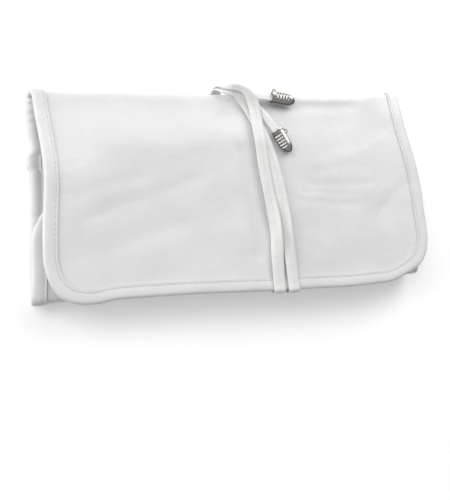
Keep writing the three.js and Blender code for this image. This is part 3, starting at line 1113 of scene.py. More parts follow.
@dataclass(frozen=True)
class Seam:
    """A row of stitches."""

    pitch: float = 3.1
    stitch: float = 2.3
    thick: float = 0.42
    rings: int = 5
    sides: int = 6

    # Least size of a stitch at its ends, squared, and the step along a run that gives its heading
    THINNEST = 0.05
    AHEAD = 0.5

    def mesh(self, centre: np.ndarray, along: np.ndarray, up: np.ndarray) -> Shell:
        """Stitches, each a thin lens of thread.

        Args:
            centre: Their middles, in millimetres.
            along: Unit vectors along them.
            up: Unit vectors away from what they are sewn to.

        Returns:
            Vertices in metres and quads.
        """
        side = np.cross(up, along)
        reach = np.linspace(-1.0, 1.0, self.rings)
        turn = np.linspace(0.0, 2.0 * math.pi, self.sides, endpoint=False)
        size = np.sqrt(np.maximum(1.0 - reach**2, self.THINNEST)) * self.thick / 2
        a = (reach * self.stitch / 2)[:, None] + 0.0 * turn[None, :]
        b = size[:, None] * np.cos(turn)[None, :]
        c = size[:, None] * np.sin(turn)[None, :]
        points = centre[:, None, None, :] + sum(
            size_of[None, :, :, None] * direction[:, None, None, :]
            for size_of, direction in ((a, along), (b, side), (c, up))
        )
        one = tube_quads(self.rings, self.sides)
        count = self.rings * self.sides
        quads = (one[None, :, :] + count * np.arange(len(centre))[:, None, None]).reshape(-1, 4)
        return points.reshape(-1, 3) * MM, quads

    def towards(self, sheet: BentSheet, here: tuple, ahead: tuple) -> Shell:
        """Stitches on the sheet.

        Args:
            sheet: The sheet that they are sewn to.
            here: x, u and depth of their middles.
            ahead: x, u and depth of places that they point to.

        Returns:
            Vertices in metres and quads.
        """
        centre = sheet.place(*here)
        return self.mesh(centre, unit(sheet.place(*ahead) - centre), sheet.inward(*here[:2]))

    def along(self, sheet: BentSheet, run: EdgeRun, inwards: float, depth: float) -> Shell:
        """Stitches on the sheet, at a depth, beside an edge run."""
        placed = run.spaced(self.pitch, self.pitch)
        x, u = placed.offset(inwards)
        ahead = (x - self.AHEAD * placed.inward_u, u + self.AHEAD * placed.inward_x, depth)
        return self.towards(sheet, (x, u, depth), ahead)


def joined(parts: list[Shell]) -> Shell:
    """Several sets of vertices and quads as one."""
    points, quads, offset = [], [], 0
    for more_points, more_quads in parts:
        points.append(more_points)
        quads.append(more_quads + offset)
        offset += len(more_points)
    return np.concatenate(points), np.concatenate(quads)


def taped(
    sheet: BentSheet,
    run: EdgeRun,
    tape: Tape,
    tuck: np.ndarray,
    puckers: np.ndarray,
    length: float,
    seed: int,
) -> Shell:
    """A tape swept along an edge run.

    Args:
        sheet: The sheet that it binds.
        run: Its edge.
        tape: Its section.
        tuck: How far its faces are sunk, at each point of the run.
        puckers: How far it bulges between its seam and the edge, at each point of the run.
        length: Typical length of a pucker.
        seed: Picks the puckers.

    Returns:
        Vertices in metres and quads.
    """
    q, n = tape.section()
    q_tucked = q[None, :] + tuck[:, None]
    x = run.x[:, None] + q_tucked * run.inward_x[:, None]
    u = run.u[:, None] + q_tucked * run.inward_u[:, None]
    outwards = np.sign(n - tape.middle)[None, :]
    wave = ripple(run.x, run.u, length, seed)
    bulge = (puckers * (tape.EVEN_SHARE + tape.WAVY_SHARE * wave))[:, None]
    swell = bulge * hill(q, tape.SWELL_AT * tape.width, tape.SWELL_WIDTH * tape.width)[None, :]
    outer_swell = np.minimum(tape.OUTER_SHARE * swell, tape.MOST_OUTER_SWELL)
    swell = np.where(outwards < 0, outer_swell, swell)
    depth = n[None, :] + outwards * (swell - tuck[:, None])
    points = sheet.place(x, u, depth).reshape(-1, 3) * MM
    return points, tube_quads(len(run.x), len(q))


class Binding(SubAssembly):
    """The folded leather tape round the whole sheet, with its two rows of stitches."""

    TAPE = Tape(width=8.0, wall=0.7, outer=0.0, inner=3.55, seam=6.6, groove=0.28)
    SEAM = Seam()
    STEP = 1.6
    SEED = 21
    PUCKERS = 0.16
    END_PUCKERS = 1.2
    PUCKER_LENGTH, END_PUCKER_LENGTH = 7.0, 4.2
    # Distances from the middle of a fold, along which the end's puckers grow to their full height
    CALM_TO, FULL_FROM = 1.5, 9.0
    # How far the middles of the stitches lie above the bottom of the groove
    STITCH_LIFT = 0.08
    # The two ends of the case and the side of x that they lie on
    ENDS = {"flap_end": -1.0, "pocket_end": 1.0}

    def build(self) -> list[bpy.types.Object]:
        """Builds the tape and its stitches, stretch by stretch.

        Returns:
            The objects.
        """
        made = []
        for stretch in Stretch:
            runs = self.runs(stretch)
            for name, nodes, run in runs:
                tuck = self.carrier.tuck(stretch, run.u)
                puckers, length = self.PUCKERS + 0.0 * run.u, self.PUCKER_LENGTH
                if name.endswith("flap_end"):
                    puckers, length = self.end_puckers(run.u), self.END_PUCKER_LENGTH
                shell = taped(self.sheet, run, self.TAPE, tuck, puckers, length, self.SEED)
                tape = make_object(name, *shell, crease_angle=TAPE_ANGLE)
                dress(tape, self.finishes.binding, "binding", *nodes)
                self.carrier.bend(tape, stretch)
                made.append(tape)
            made.append(self.stitches(stretch, [run for _, _, run in runs]))
        return made

    def end_puckers(self, u: np.ndarray) -> np.ndarray:
        """Height of the puckers at the loose flap end: full on the back, calm in the middle of a fold."""
        first, _, last = self.sheet.splits
        far = np.minimum(np.abs(u - first), np.abs(u - last))
        growth = smooth(far, self.CALM_TO, self.FULL_FROM)
        return self.PUCKERS + (self.END_PUCKERS - self.PUCKERS) * growth

    def runs(self, stretch: Stretch) -> list[tuple[str, list[str], EdgeRun]]:
        """Names, replaced nodes and edge runs of a stretch."""
        sheet = self.sheet
        start, end = self.carrier.span(stretch, lap=self.carrier.LAP)
        half = sheet.half_length
        fold = "top_fold" if stretch in (Stretch.FRONT, Stretch.TOP) else "inner_fold"
        if stretch.is_outer:
            panel = f"binding_{stretch.name.lower()}"
            split, edge = (end, start) if stretch is Stretch.FRONT else (start, end)
            run = free_edge_run(sheet, split, edge, half, sheet.corner, self.STEP)
            return [(f"{panel}_edge", [panel] + [f"binding_{fold}_{side}" for side in self.ENDS], run)]
        label = "upper" if stretch is Stretch.TOP else "lower"
        return [
            (
                f"binding_{label}_{side}",
                [f"binding_back_{side}", f"binding_{fold}_{side}"],
                side_run(sheet, start, end, sign, half, self.STEP),
            )
            for side, sign in self.ENDS.items()
        ]

    def stitches(self, stretch: Stretch, runs: list[EdgeRun]) -> bpy.types.Object:
        """The stitches of a stretch on both faces of the tape."""
        tape, lift = self.TAPE, self.STITCH_LIFT
        depths = (tape.outer + tape.groove - lift, tape.inner - tape.groove + lift)
        parts = [self.SEAM.along(self.sheet, run, tape.seam, depth) for run in runs for depth in depths]
        row = self.stitched(f"binding_stitches_{stretch.name.lower()}", parts, "binding")
        self.carrier.bend(row, stretch)
        return row


class Flap(SubAssembly):
    """The brush guard: a cloth flap sewn in along the flap end, with a taped hem on its free sides."""

    CLOTH = (3.4, 3.9)
    HEM = Tape(width=7.0, wall=0.4, outer=3.15, inner=4.45, seam=5.6, groove=0.12)
    SEAM = Seam(pitch=2.8, stitch=2.0, thick=0.36)
    RADIUS = 25.0
    # How far the cloth stops short of the hem's edge
    INSET = 0.6
    STEP, COLUMNS, HEM_STEP = 2.4, 40, 1.8
    WAVE, WAVE_LENGTH, WAVE_SEED = 0.12, 26.0, 5
    # Distance from the sewn side over which the waves grow
    WAVE_GROWTH = 20.0
    PUCKERS, PUCKER_LENGTH, PUCKER_SEED = 0.05, 7.0, 31
    STITCH_SUNK = 0.02
    # The hem's run is cut off at the sewn side, so its own left side lies well beyond it
    BEYOND_SEWN = 60.0
    MOST_KEPT = 0.9

    def __init__(self, carrier: Carrier, finishes: Finishes) -> None:
        """Reads the flap's place off its nodes."""
        super().__init__(carrier, finishes)
        low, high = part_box("flap_back")
        self.sewn, self.edge = low.x / MM, high.x / MM
        front_low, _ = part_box("flap_front")
        _, inner_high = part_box("flap_inner")
        sheet = self.sheet
        on_front = (sheet.y_top - front_low.y / MM) / math.cos(sheet.rise)
        self.start = sheet.fold_lines[0] - on_front
        self.end = sheet.fold_lines[3] + inner_high.y / MM - sheet.y_low

    def build(self) -> list[bpy.types.Object]:
        """Builds the cloth, the hem and its stitches, stretch by stretch.

        Returns:
            The objects.
        """
        made = []
        for stretch in Stretch:
            label, panels = stretch.name.lower(), Panels.NODES[stretch]
            cloth = self.cloth(stretch)
            dress(cloth, self.finishes.flap, "flap", *(f"flap_{panel}" for panel in panels))
            run = self.run(stretch)
            tuck, puckers = self.carrier.tuck(stretch, run.u), self.PUCKERS + 0.0 * run.u
            shell = taped(
                self.sheet, run, self.HEM, tuck, puckers, self.PUCKER_LENGTH, self.PUCKER_SEED
            )
            hem = make_object(f"flap_hem_{label}_tape", *shell, crease_angle=TAPE_ANGLE)
            dress(hem, self.finishes.binding, "binding", *(f"flap_hem_{panel}" for panel in panels))
            depth = self.HEM.inner - self.STITCH_SUNK
            stitches = self.SEAM.along(self.sheet, run, self.HEM.seam, depth)
            row = self.stitched(f"flap_stitches_{label}", [stitches], "binding")
            for piece in (cloth, hem, row):
                self.carrier.bend(piece, stretch)
                made.append(piece)
        return made

    def limits(self, stretch: Stretch) -> tuple[float, float]:
        """First and last u of the flap in a stretch."""
        start, end = self.carrier.span(stretch, lap=self.carrier.LAP)
        return max(start, self.start), min(end, self.end)

    def cloth(self, stretch: Stretch) -> bpy.types.Object:
        """The cloth of a stretch, with its places on the flat sheet as its layout."""
        start, end = self.limits(stretch)
        inset, radius = self.INSET, self.RADIUS - self.INSET
        start, end = max(start, self.start + inset), min(end, self.end - inset)
        u = self.sheet.stations(start, end, self.STEP)
        from_edge = np.minimum(u - self.start - inset, self.end - inset - u)
        reach = self.edge - inset - radius + corner_reach(from_edge, radius)
        x = self.sewn + (reach[:, None] - self.sewn) * np.linspace(0.0, 1.0, self.COLUMNS)[None, :]
        uu = np.broadcast_to(u[:, None], x.shape)
        growth = smooth(x, self.sewn, self.sewn + self.WAVE_GROWTH)
        wave = self.WAVE * ripple(x, uu, self.WAVE_LENGTH, self.WAVE_SEED) * growth
        tuck = self.carrier.tuck(stretch, uu)
        depths = (self.CLOTH[0] + tuck + wave, self.CLOTH[1] - tuck + wave)
        made = self.slab(f"flap_{stretch.name.lower()}_cloth", x, uu, depths)
        return made

    def run(self, stretch: Stretch) -> EdgeRun:
        """The hem's edge run: straight on the middle stretches, round a corner on the outer two."""
        start, end = self.limits(stretch)
        if not stretch.is_outer:
            return side_run(self.sheet, start, end, 1.0, self.edge, self.HEM_STEP)
        split, edge = (end, start) if stretch is Stretch.FRONT else (start, end)
        left = self.sewn - self.BEYOND_SEWN
        whole = free_edge_run(self.sheet, split, edge, self.edge, self.RADIUS, self.HEM_STEP, left)
        count = len(whole.x)
        kept = (whole.x > self.sewn) & (np.arange(count) < count * self.MOST_KEPT)
        last = int(np.argmax(~kept)) if (~kept).any() else count
        return EdgeRun(whole.x[:last], whole.u[:last], whole.inward_x[:last], whole.inward_u[:last])


class Pockets(SubAssembly):
    """Ten brush pockets, one strip of cloth sewn down between them and along the pocket end."""

    # x of the mouths and of the sewn end
    MOUTH, SEWN = 13.0, 111.6
    UNDER_BINDING = 8.2
    # Depth of the strip where it lies flat, and its thickness
    FLAT, THICK = 2.9, 0.5
    # Height of an arch, how square it is, and how much the arches differ
    BULGE, ARCH_POWER, LEAN = 3.4, 2.6, 0.12
    # Towards the sewn end an arch flattens: over what length, by what share, and with what power
    TAPER, FLATTEST, FULLNESS = 22.0, 0.999, 0.75
    SEAM_HALF = 1.0
    # Widths of the pockets on the inner, the back and the front panel
    INNER_WIDTHS = (26.0, 14.0, 14.0)
    BACK_WIDTHS = (15.0, 17.0, 27.0, 32.0, 24.0)
    FRONT_WIDTHS = (22.0, 21.0)
    # Distances between the folds and the nearest pockets of the front and the inner panel
    FRONT_GAP, INNER_GAP = 3.8, 3.2
    STEP, COLUMNS = 0.5, 60
    # The hem at the mouths: its width, columns, first step past it, thickness and the line where it ends
    HEM_WIDTH, HEM_COLUMNS, HEM_STEP, HEM_THICK = 8.0, 9, 1.5, 0.3
    HEM_ENDS = (7.4, 6.6)
    # A hem is only drawn where the cloth stands off the lining by this much
    HEM_RISE = 0.2
    WAVE, WAVE_LENGTH, WAVE_SEED = 0.05, 18.0, 41
    SEAM = Seam(pitch=2.6, stitch=1.9, thick=0.34)
    # The stitches between two pockets: where they start and stop, their lift and the step to the next place
    SEAM_START, SEAM_STOP, SEAM_LIFT, SEAM_AHEAD = 2.0, 1.0, 0.1, 0.5
    # The stitches along the mouths: margin, distance from the mouth, lift, share of the arch and the step
    ROW_MARGIN, ROW_AT, ROW_LIFT, ROW_SHARE, ROW_AHEAD = 1.5, 6.0, 0.35, 0.93, 0.3
    # A seam that lies this close to the end of a stretch belongs to the next one
    ON_SPLIT = 0.01

    def __init__(self, carrier: Carrier, finishes: Finishes) -> None:
        """Finds the seams of the pockets from the folds."""
        super().__init__(carrier, finishes)
        a, b, c, d = self.sheet.fold_lines
        front_start = a - self.FRONT_GAP - sum(self.FRONT_WIDTHS)
        back_start = (b + c - sum(self.BACK_WIDTHS)) / 2
        self.rows = (
            np.cumsum([front_start, *self.FRONT_WIDTHS[::-1]]),
            np.cumsum([back_start, *self.BACK_WIDTHS[::-1]]),
            np.cumsum([d + self.INNER_GAP, *self.INNER_WIDTHS[::-1]]),
        )
        self.parting = self.rows[1][2]

    def reach(self, u: np.ndarray) -> np.ndarray:
        """x where the cloth is sewn down: along the pocket end, and inside the binding of a round corner."""
        return np.minimum(self.SEWN, self.sheet.half_width(u, self.UNDER_BINDING))

    def height(self, u: np.ndarray) -> np.ndarray:
        """How far the cloth stands off the lining at its mouth: an arch over every pocket."""
        total = np.zeros_like(u)
        for row in self.rows:
            for low, high in zip(row[:-1], row[1:]):
                middle, half = (low + high) / 2, (high - low) / 2 - self.SEAM_HALF
                share = np.clip(np.abs(u - middle) / half, 0.0, 1.0)
                lean = 1.0 - self.LEAN * np.sin(high)
                arch = (1.0 - share**self.ARCH_POWER) ** (1 / self.ARCH_POWER)
                total = np.maximum(total, lean * self.BULGE * arch)
        return np.minimum(total, self.BULGE)

    def limits(self, stretch: Stretch) -> tuple[float, float]:
        """First and last u of the strip in a stretch."""
        start, end = self.carrier.span(stretch, lap=self.carrier.LAP)
        return {
            Stretch.FRONT: (self.rows[0][0] - self.SEAM_HALF, end),
            Stretch.TOP: (start, self.parting),
            Stretch.BOTTOM: (self.parting, end),
            Stretch.INNER: (start, self.rows[2][-1] + self.SEAM_HALF),
        }[stretch]

    def build(self) -> list[bpy.types.Object]:
        """Builds the strip and its stitches, stretch by stretch.

        Returns:
            The objects.
        """
        made = []
        nodes = {
            Stretch.FRONT: "pocket_cloth_front",
            Stretch.TOP: "pocket_cloth_back",
            Stretch.BOTTOM: "pocket_cloth_back",
            Stretch.INNER: "pocket_cloth_inner",
        }
        for stretch in Stretch:
            cloth = self.cloth(stretch)
            dress(cloth, self.finishes.pocket, "pocket_cloth", nodes[stretch])
            for piece in (cloth, self.stitches(stretch)):
                self.carrier.bend(piece, stretch)
                made.append(piece)
        return made

    def cloth(self, stretch: Stretch) -> bpy.types.Object:
        """The strip of a stretch, with its places on the flat sheet as its layout."""
        start, end = self.limits(stretch)
        u = np.linspace(start, end, int((end - start) / self.STEP) + 2)
        hem_end = self.MOUTH + self.HEM_WIDTH
        hem_x = np.linspace(self.MOUTH, hem_end, self.HEM_COLUMNS)
        x = np.concatenate([hem_x, np.linspace(hem_end + self.HEM_STEP, self.SEWN, self.COLUMNS)])
        xx, uu = np.meshgrid(x, u, indexing="xy")
        sewn = self.reach(uu)
        drawn_in = hem_end + (xx - hem_end) * (sewn - hem_end) / (self.SEWN - hem_end)
        xx = np.where(xx > hem_end, drawn_in, xx)
        full = (1.0 - self.FLATTEST * smooth(xx, sewn - self.TAPER, sewn)) ** self.FULLNESS
        wave = 1.0 - self.WAVE * (1.0 + ripple(xx, uu, self.WAVE_LENGTH, self.WAVE_SEED))
        rise = self.height(uu) * full * wave
        hem = self.HEM_THICK * smooth(xx, self.MOUTH + self.HEM_ENDS[0], self.MOUTH + self.HEM_ENDS[1])
        lower = self.FLAT + rise
        upper = lower + self.THICK + np.where(rise > self.HEM_RISE, hem, 0.0)
        tuck = self.carrier.tuck(stretch, uu)
        made = self.slab(f"pocket_{stretch.name.lower()}_cloth", xx, uu, (lower + tuck, upper - tuck))
        return made

    def stitches(self, stretch: Stretch) -> bpy.types.Object:
        """Stitches along the seams between pockets and along the hem at the mouths."""
        start, end = self.limits(stretch)
        face = self.FLAT + self.THICK
        parts = []
        first, last = start - self.ON_SPLIT, end - self.ON_SPLIT
        for seam in (line for row in self.rows for line in row if first <= line < last):
            stop = float(self.reach(np.array(seam))) - self.SEAM_STOP
            x = np.arange(self.MOUTH + self.SEAM_START, stop, self.SEAM.pitch)
            u, depth = np.full(x.shape, seam), face + self.SEAM_LIFT
            parts.append(self.SEAM.towards(self.sheet, (x, u, depth), (x + self.SEAM_AHEAD, u, depth)))
        u = np.arange(start + self.ROW_MARGIN, end - self.ROW_MARGIN, self.SEAM.pitch)
        x, ahead = np.full(u.shape, self.MOUTH + self.ROW_AT), u + self.ROW_AHEAD
        places = [(x, v, face + self.ROW_LIFT + self.ROW_SHARE * self.height(v)) for v in (u, ahead)]
        parts.append(self.SEAM.towards(self.sheet, *places))
        return self.stitched(f"pocket_stitches_{stretch.name.lower()}", parts, "pocket_cloth")


@dataclass(frozen=True)
class Ribbon:
    """A stretch of the strap.

    A row of its route is x, s, depth, roll in degrees, width and thickness. s is measured from the top
    fold, over the front when positive and over the fold and the back when negative. Where s is past
    held_after, the ribbon keeps the direction across it that it had there, on its way round the free edge.
    """

    name: str
    route: tuple[tuple[float, float, float, float, float, float], ...]
    held_after: float = 124.0

    SECTION_POINTS = 12
    SPLINE_STEPS = 16
    STEP = 0.9
    # The section: how square it is, its thinnest share squared, and the line down its middle
    SQUARENESS, THINNEST = 3.0, 0.02
    LINE_DEPTH, LINE_WIDTH = 0.22, 0.16
    # Margin of the stitches at the ribbon's ends, and their height as a share of its half thickness
    MARGIN, STITCH_SHARE = 1.5, 0.84
    SEAM = Seam(pitch=3.0, stitch=2.1, thick=0.34)

    def frames(self, sheet: BentSheet) -> tuple[np.ndarray, ...]:
        """The ribbon's centre line and directions.

        Args:
            sheet: The bent sheet that it lies on.

        Returns:
            Centres, tangents, directions across it, its normals, half widths and half thicknesses.
        """
        rows = spline(np.array(self.route), self.SPLINE_STEPS)
        far = distances(rows[:, :3])
        even = np.linspace(0.0, far[-1], int(far[-1] / self.STEP) + 2)
        x, s, depth, roll, width, thick = (np.interp(even, far, column) for column in rows.T)
        u = sheet.fold_lines[0] - s
        centre = sheet.place(x, u, depth)
        tangent = unit(np.gradient(centre, axis=0))
        across = unit(np.cross(sheet.inward(x, u), tangent))
        held = np.argmax(s > self.held_after) if (s > self.held_after).any() else len(s)
        if held < len(s):
            across[held:] = across[held - 1]
            across = unit(across - (across * tangent).sum(axis=1, keepdims=True) * tangent)
        normal = np.cross(tangent, across)
        cos, sin = np.cos(np.radians(roll))[:, None], np.sin(np.radians(roll))[:, None]
        turned = across * cos + normal * sin
        return centre, tangent, turned, np.cross(tangent, turned), width / 2, thick / 2

    def mesh(self, sheet: BentSheet) -> Shell:
        """A flat band with round edges and a shallow line down its middle, on both faces."""
        centre, _, across, normal, half_width, half_thick = self.frames(sheet)
        t = np.sin(np.linspace(-math.pi / 2, math.pi / 2, self.SECTION_POINTS))
        profile = np.maximum(1.0 - np.abs(t) ** self.SQUARENESS, self.THINNEST) ** 0.5
        profile = profile - self.LINE_DEPTH * hill(t, 0.0, self.LINE_WIDTH)
        q = np.concatenate([t, t[::-1]])
        n = np.concatenate([profile, -profile[::-1]])
        points = (
            centre[:, None, :]
            + across[:, None, :] * (half_width[:, None] * q[None, :])[..., None]
            + normal[:, None, :] * (half_thick[:, None] * n[None, :])[..., None]
        )
        return points.reshape(-1, 3) * MM, tube_quads(len(centre), len(q))

    def stitches(self, sheet: BentSheet) -> Shell:
        """The middle seam on both faces."""
        centre, tangent, _, normal, _, half_thick = self.frames(sheet)
        far = distances(centre)
        at = np.arange(self.MARGIN, far[-1] - self.MARGIN, self.SEAM.pitch)

        def pick(values: np.ndarray) -> np.ndarray:
            """Rows of values at the stitches."""
            return np.stack([np.interp(at, far, column) for column in values.T], axis=1)

        lift = np.interp(at, far, half_thick)[:, None] * self.STITCH_SHARE
        middle, along, up = pick(centre), unit(pick(tangent)), unit(pick(normal))
        sides = [self.SEAM.mesh(middle + sign * up * lift, along, sign * up) for sign in (-1.0, 1.0)]
        return joined(sides)


@dataclass(frozen=True)
class Tip:
    """A crimped metal strap tip, which lies on the plane of the front panel.

    x, s and depth give its open end. heading and roll are its angles in degrees, and 1 or -1 names the side
    of its ribs and of its ring. The ring lies at a share of the length and stands out from the side.
    """

    name: str
    x: float
    s: float
    depth: float
    heading: float
    roll: float
    ribs_side: float
    lug_side: float
    lug_at: float
    lug_out: float
    length: float = 16.0
    width: float = 8.0
    thick: float = 4.6

    AROUND = 48
    RIBS = 5
    # Where the closed end starts to round, over what share of the length, and how blunt it is
    ROUND_FROM, ROUND_OVER, BLUNTNESS = 0.55, 0.45, 2.3
    # The lip at the open end: height, place and width
    LIP, LIP_AT, LIP_WIDTH = 0.05, 0.03, 0.035
    SQUARENESS = 2.15
    # The ribs: depth, where their waves start, and the share of the length that they cover
    RIB_DEPTH, RIBS_FROM, RIBS_OVER = 0.17, 0.2, 0.62
    # Shares of the length and of the size of the rings inside the open end, from the mouth inwards
    INSIDE = (0.0, 0.1, 0.25, 0.34)
    INSIDE_SCALE = (0.86, 0.84, 0.82, 0.4)
    # The ring near the open end: radius, radius of its wire, and points round each
    RING, WIRE = 1.15, 0.42
    RING_POINTS, WIRE_POINTS = 24, 10

    def frame(self, sheet: BentSheet) -> tuple[np.ndarray, np.ndarray, np.ndarray, np.ndarray]:
        """Origin, axis, width direction and outward normal of the tip, in millimetres."""
        down = np.array([0.0, -math.cos(sheet.rise), math.sin(sheet.rise)])
        across = np.array([1.0, 0.0, 0.0])
        normal = np.array([0.0, math.sin(sheet.rise), math.cos(sheet.rise)])
        origin = sheet.place(self.x, sheet.fold_lines[0] - self.s, self.depth)
        angle, turn = math.radians(self.heading), math.radians(self.roll)
        axis = math.cos(angle) * across + math.sin(angle) * down
        side = -math.sin(angle) * across + math.cos(angle) * down
        turned_side = side * math.cos(turn) + normal * math.sin(turn)
        return origin, axis, turned_side, normal * math.cos(turn) - side * math.sin(turn)

    def ribs(self, t: np.ndarray, cos: np.ndarray, sin: np.ndarray) -> np.ndarray:
        """How much the ribs draw the shell in.

        Args:
            t: Shares of the length.
            cos: Cosines of the turns round the tip.
            sin: Their sines.

        Returns:
            A factor for every ring and turn: five notches on the upper half of one side.
        """
        wave = 0.5 + 0.5 * np.cos(2.0 * math.pi * (t - self.RIBS_FROM) / self.RIBS_OVER * self.RIBS)
        # The waves fade at both ends of the ribs, and at both sides of the part of the round that has them
        ribbed = smooth(t, 0.13, 0.2) * smooth(t, 0.86, 0.8) * wave
        towards = self.ribs_side * cos
        sector = smooth(towards, -0.15, 0.1) * smooth(towards, 1.0, 0.93) * (sin > 0)
        return 1.0 - self.RIB_DEPTH * ribbed[:, None] * sector[None, :]

    def mesh(self, sheet: BentSheet) -> Shell:
        """The tip's shell: a lip, ribs along one side, a round end, and the inside of the open end."""
        origin, axis, side, normal = self.frame(sheet)
        # Shares of the length: along the lip, along the ribs, and ever closer towards the closed end
        lip, ribbed = np.linspace(0.0, 0.12, 9), np.linspace(0.13, 0.72, 38)
        t = np.concatenate([lip, ribbed, 1 - np.geomspace(0.27, 0.0004, 24)])
        end = np.clip((t - self.ROUND_FROM) / self.ROUND_OVER, 0.0, 1.0)
        swell = np.sqrt(np.maximum(1.0 - end**self.BLUNTNESS, 0.0))
        swell = swell * (1.0 + self.LIP * hill(t, self.LIP_AT, self.LIP_WIDTH))
        turn = np.linspace(0.0, 2.0 * math.pi, self.AROUND, endpoint=False)
        cos, sin = np.cos(turn), np.sin(turn)
        power = 2.0 / self.SQUARENESS
        q = np.sign(cos) * np.abs(cos) ** power * self.width / 2
        n = np.sign(sin) * np.abs(sin) ** power * self.thick / 2
        shrink = self.ribs(t, cos, sin)
        scale = np.array(self.INSIDE_SCALE)[::-1, None]
        qq = np.concatenate([q[None, :] * scale, q[None, :] * swell[:, None] * shrink])
        nn = np.concatenate([n[None, :] * scale, n[None, :] * swell[:, None] * shrink])
        along = np.concatenate([np.array(self.INSIDE)[::-1], t])[:, None] * self.length
        points = origin + axis * np.broadcast_to(along, qq.shape)[..., None]
        points = points + side * qq[..., None] + normal * nn[..., None]
        return points.reshape(-1, 3) * MM, tube_quads(len(along), self.AROUND)

    def lug(self, sheet: BentSheet) -> Shell:
        """The small ring near the open end."""
        origin, axis, side, normal = self.frame(sheet)
        outwards = self.lug_side * side
        centre = origin + axis * self.lug_at * self.length + outwards * (self.width / 2 + self.lug_out)
        around = np.linspace(0.0, 2.0 * math.pi, self.RING_POINTS, endpoint=False)
        wire = np.linspace(0.0, 2.0 * math.pi, self.WIRE_POINTS, endpoint=False)
        radial = np.cos(around)[:, None] * axis + np.sin(around)[:, None] * outwards
        points = centre + radial[:, None, :] * (self.RING + self.WIRE * np.cos(wire))[None, :, None]
        points = points + normal * (self.WIRE * np.sin(wire))[None, :, None]
        index = np.arange(self.RING_POINTS * self.WIRE_POINTS).reshape(self.RING_POINTS, -1)
        a, b = index, np.roll(index, -1, axis=1)
        c, d = np.roll(b, -1, axis=0), np.roll(index, -1, axis=0)
        return points.reshape(-1, 3) * MM, np.stack([a, b, c, d], axis=-1).reshape(-1, 4)


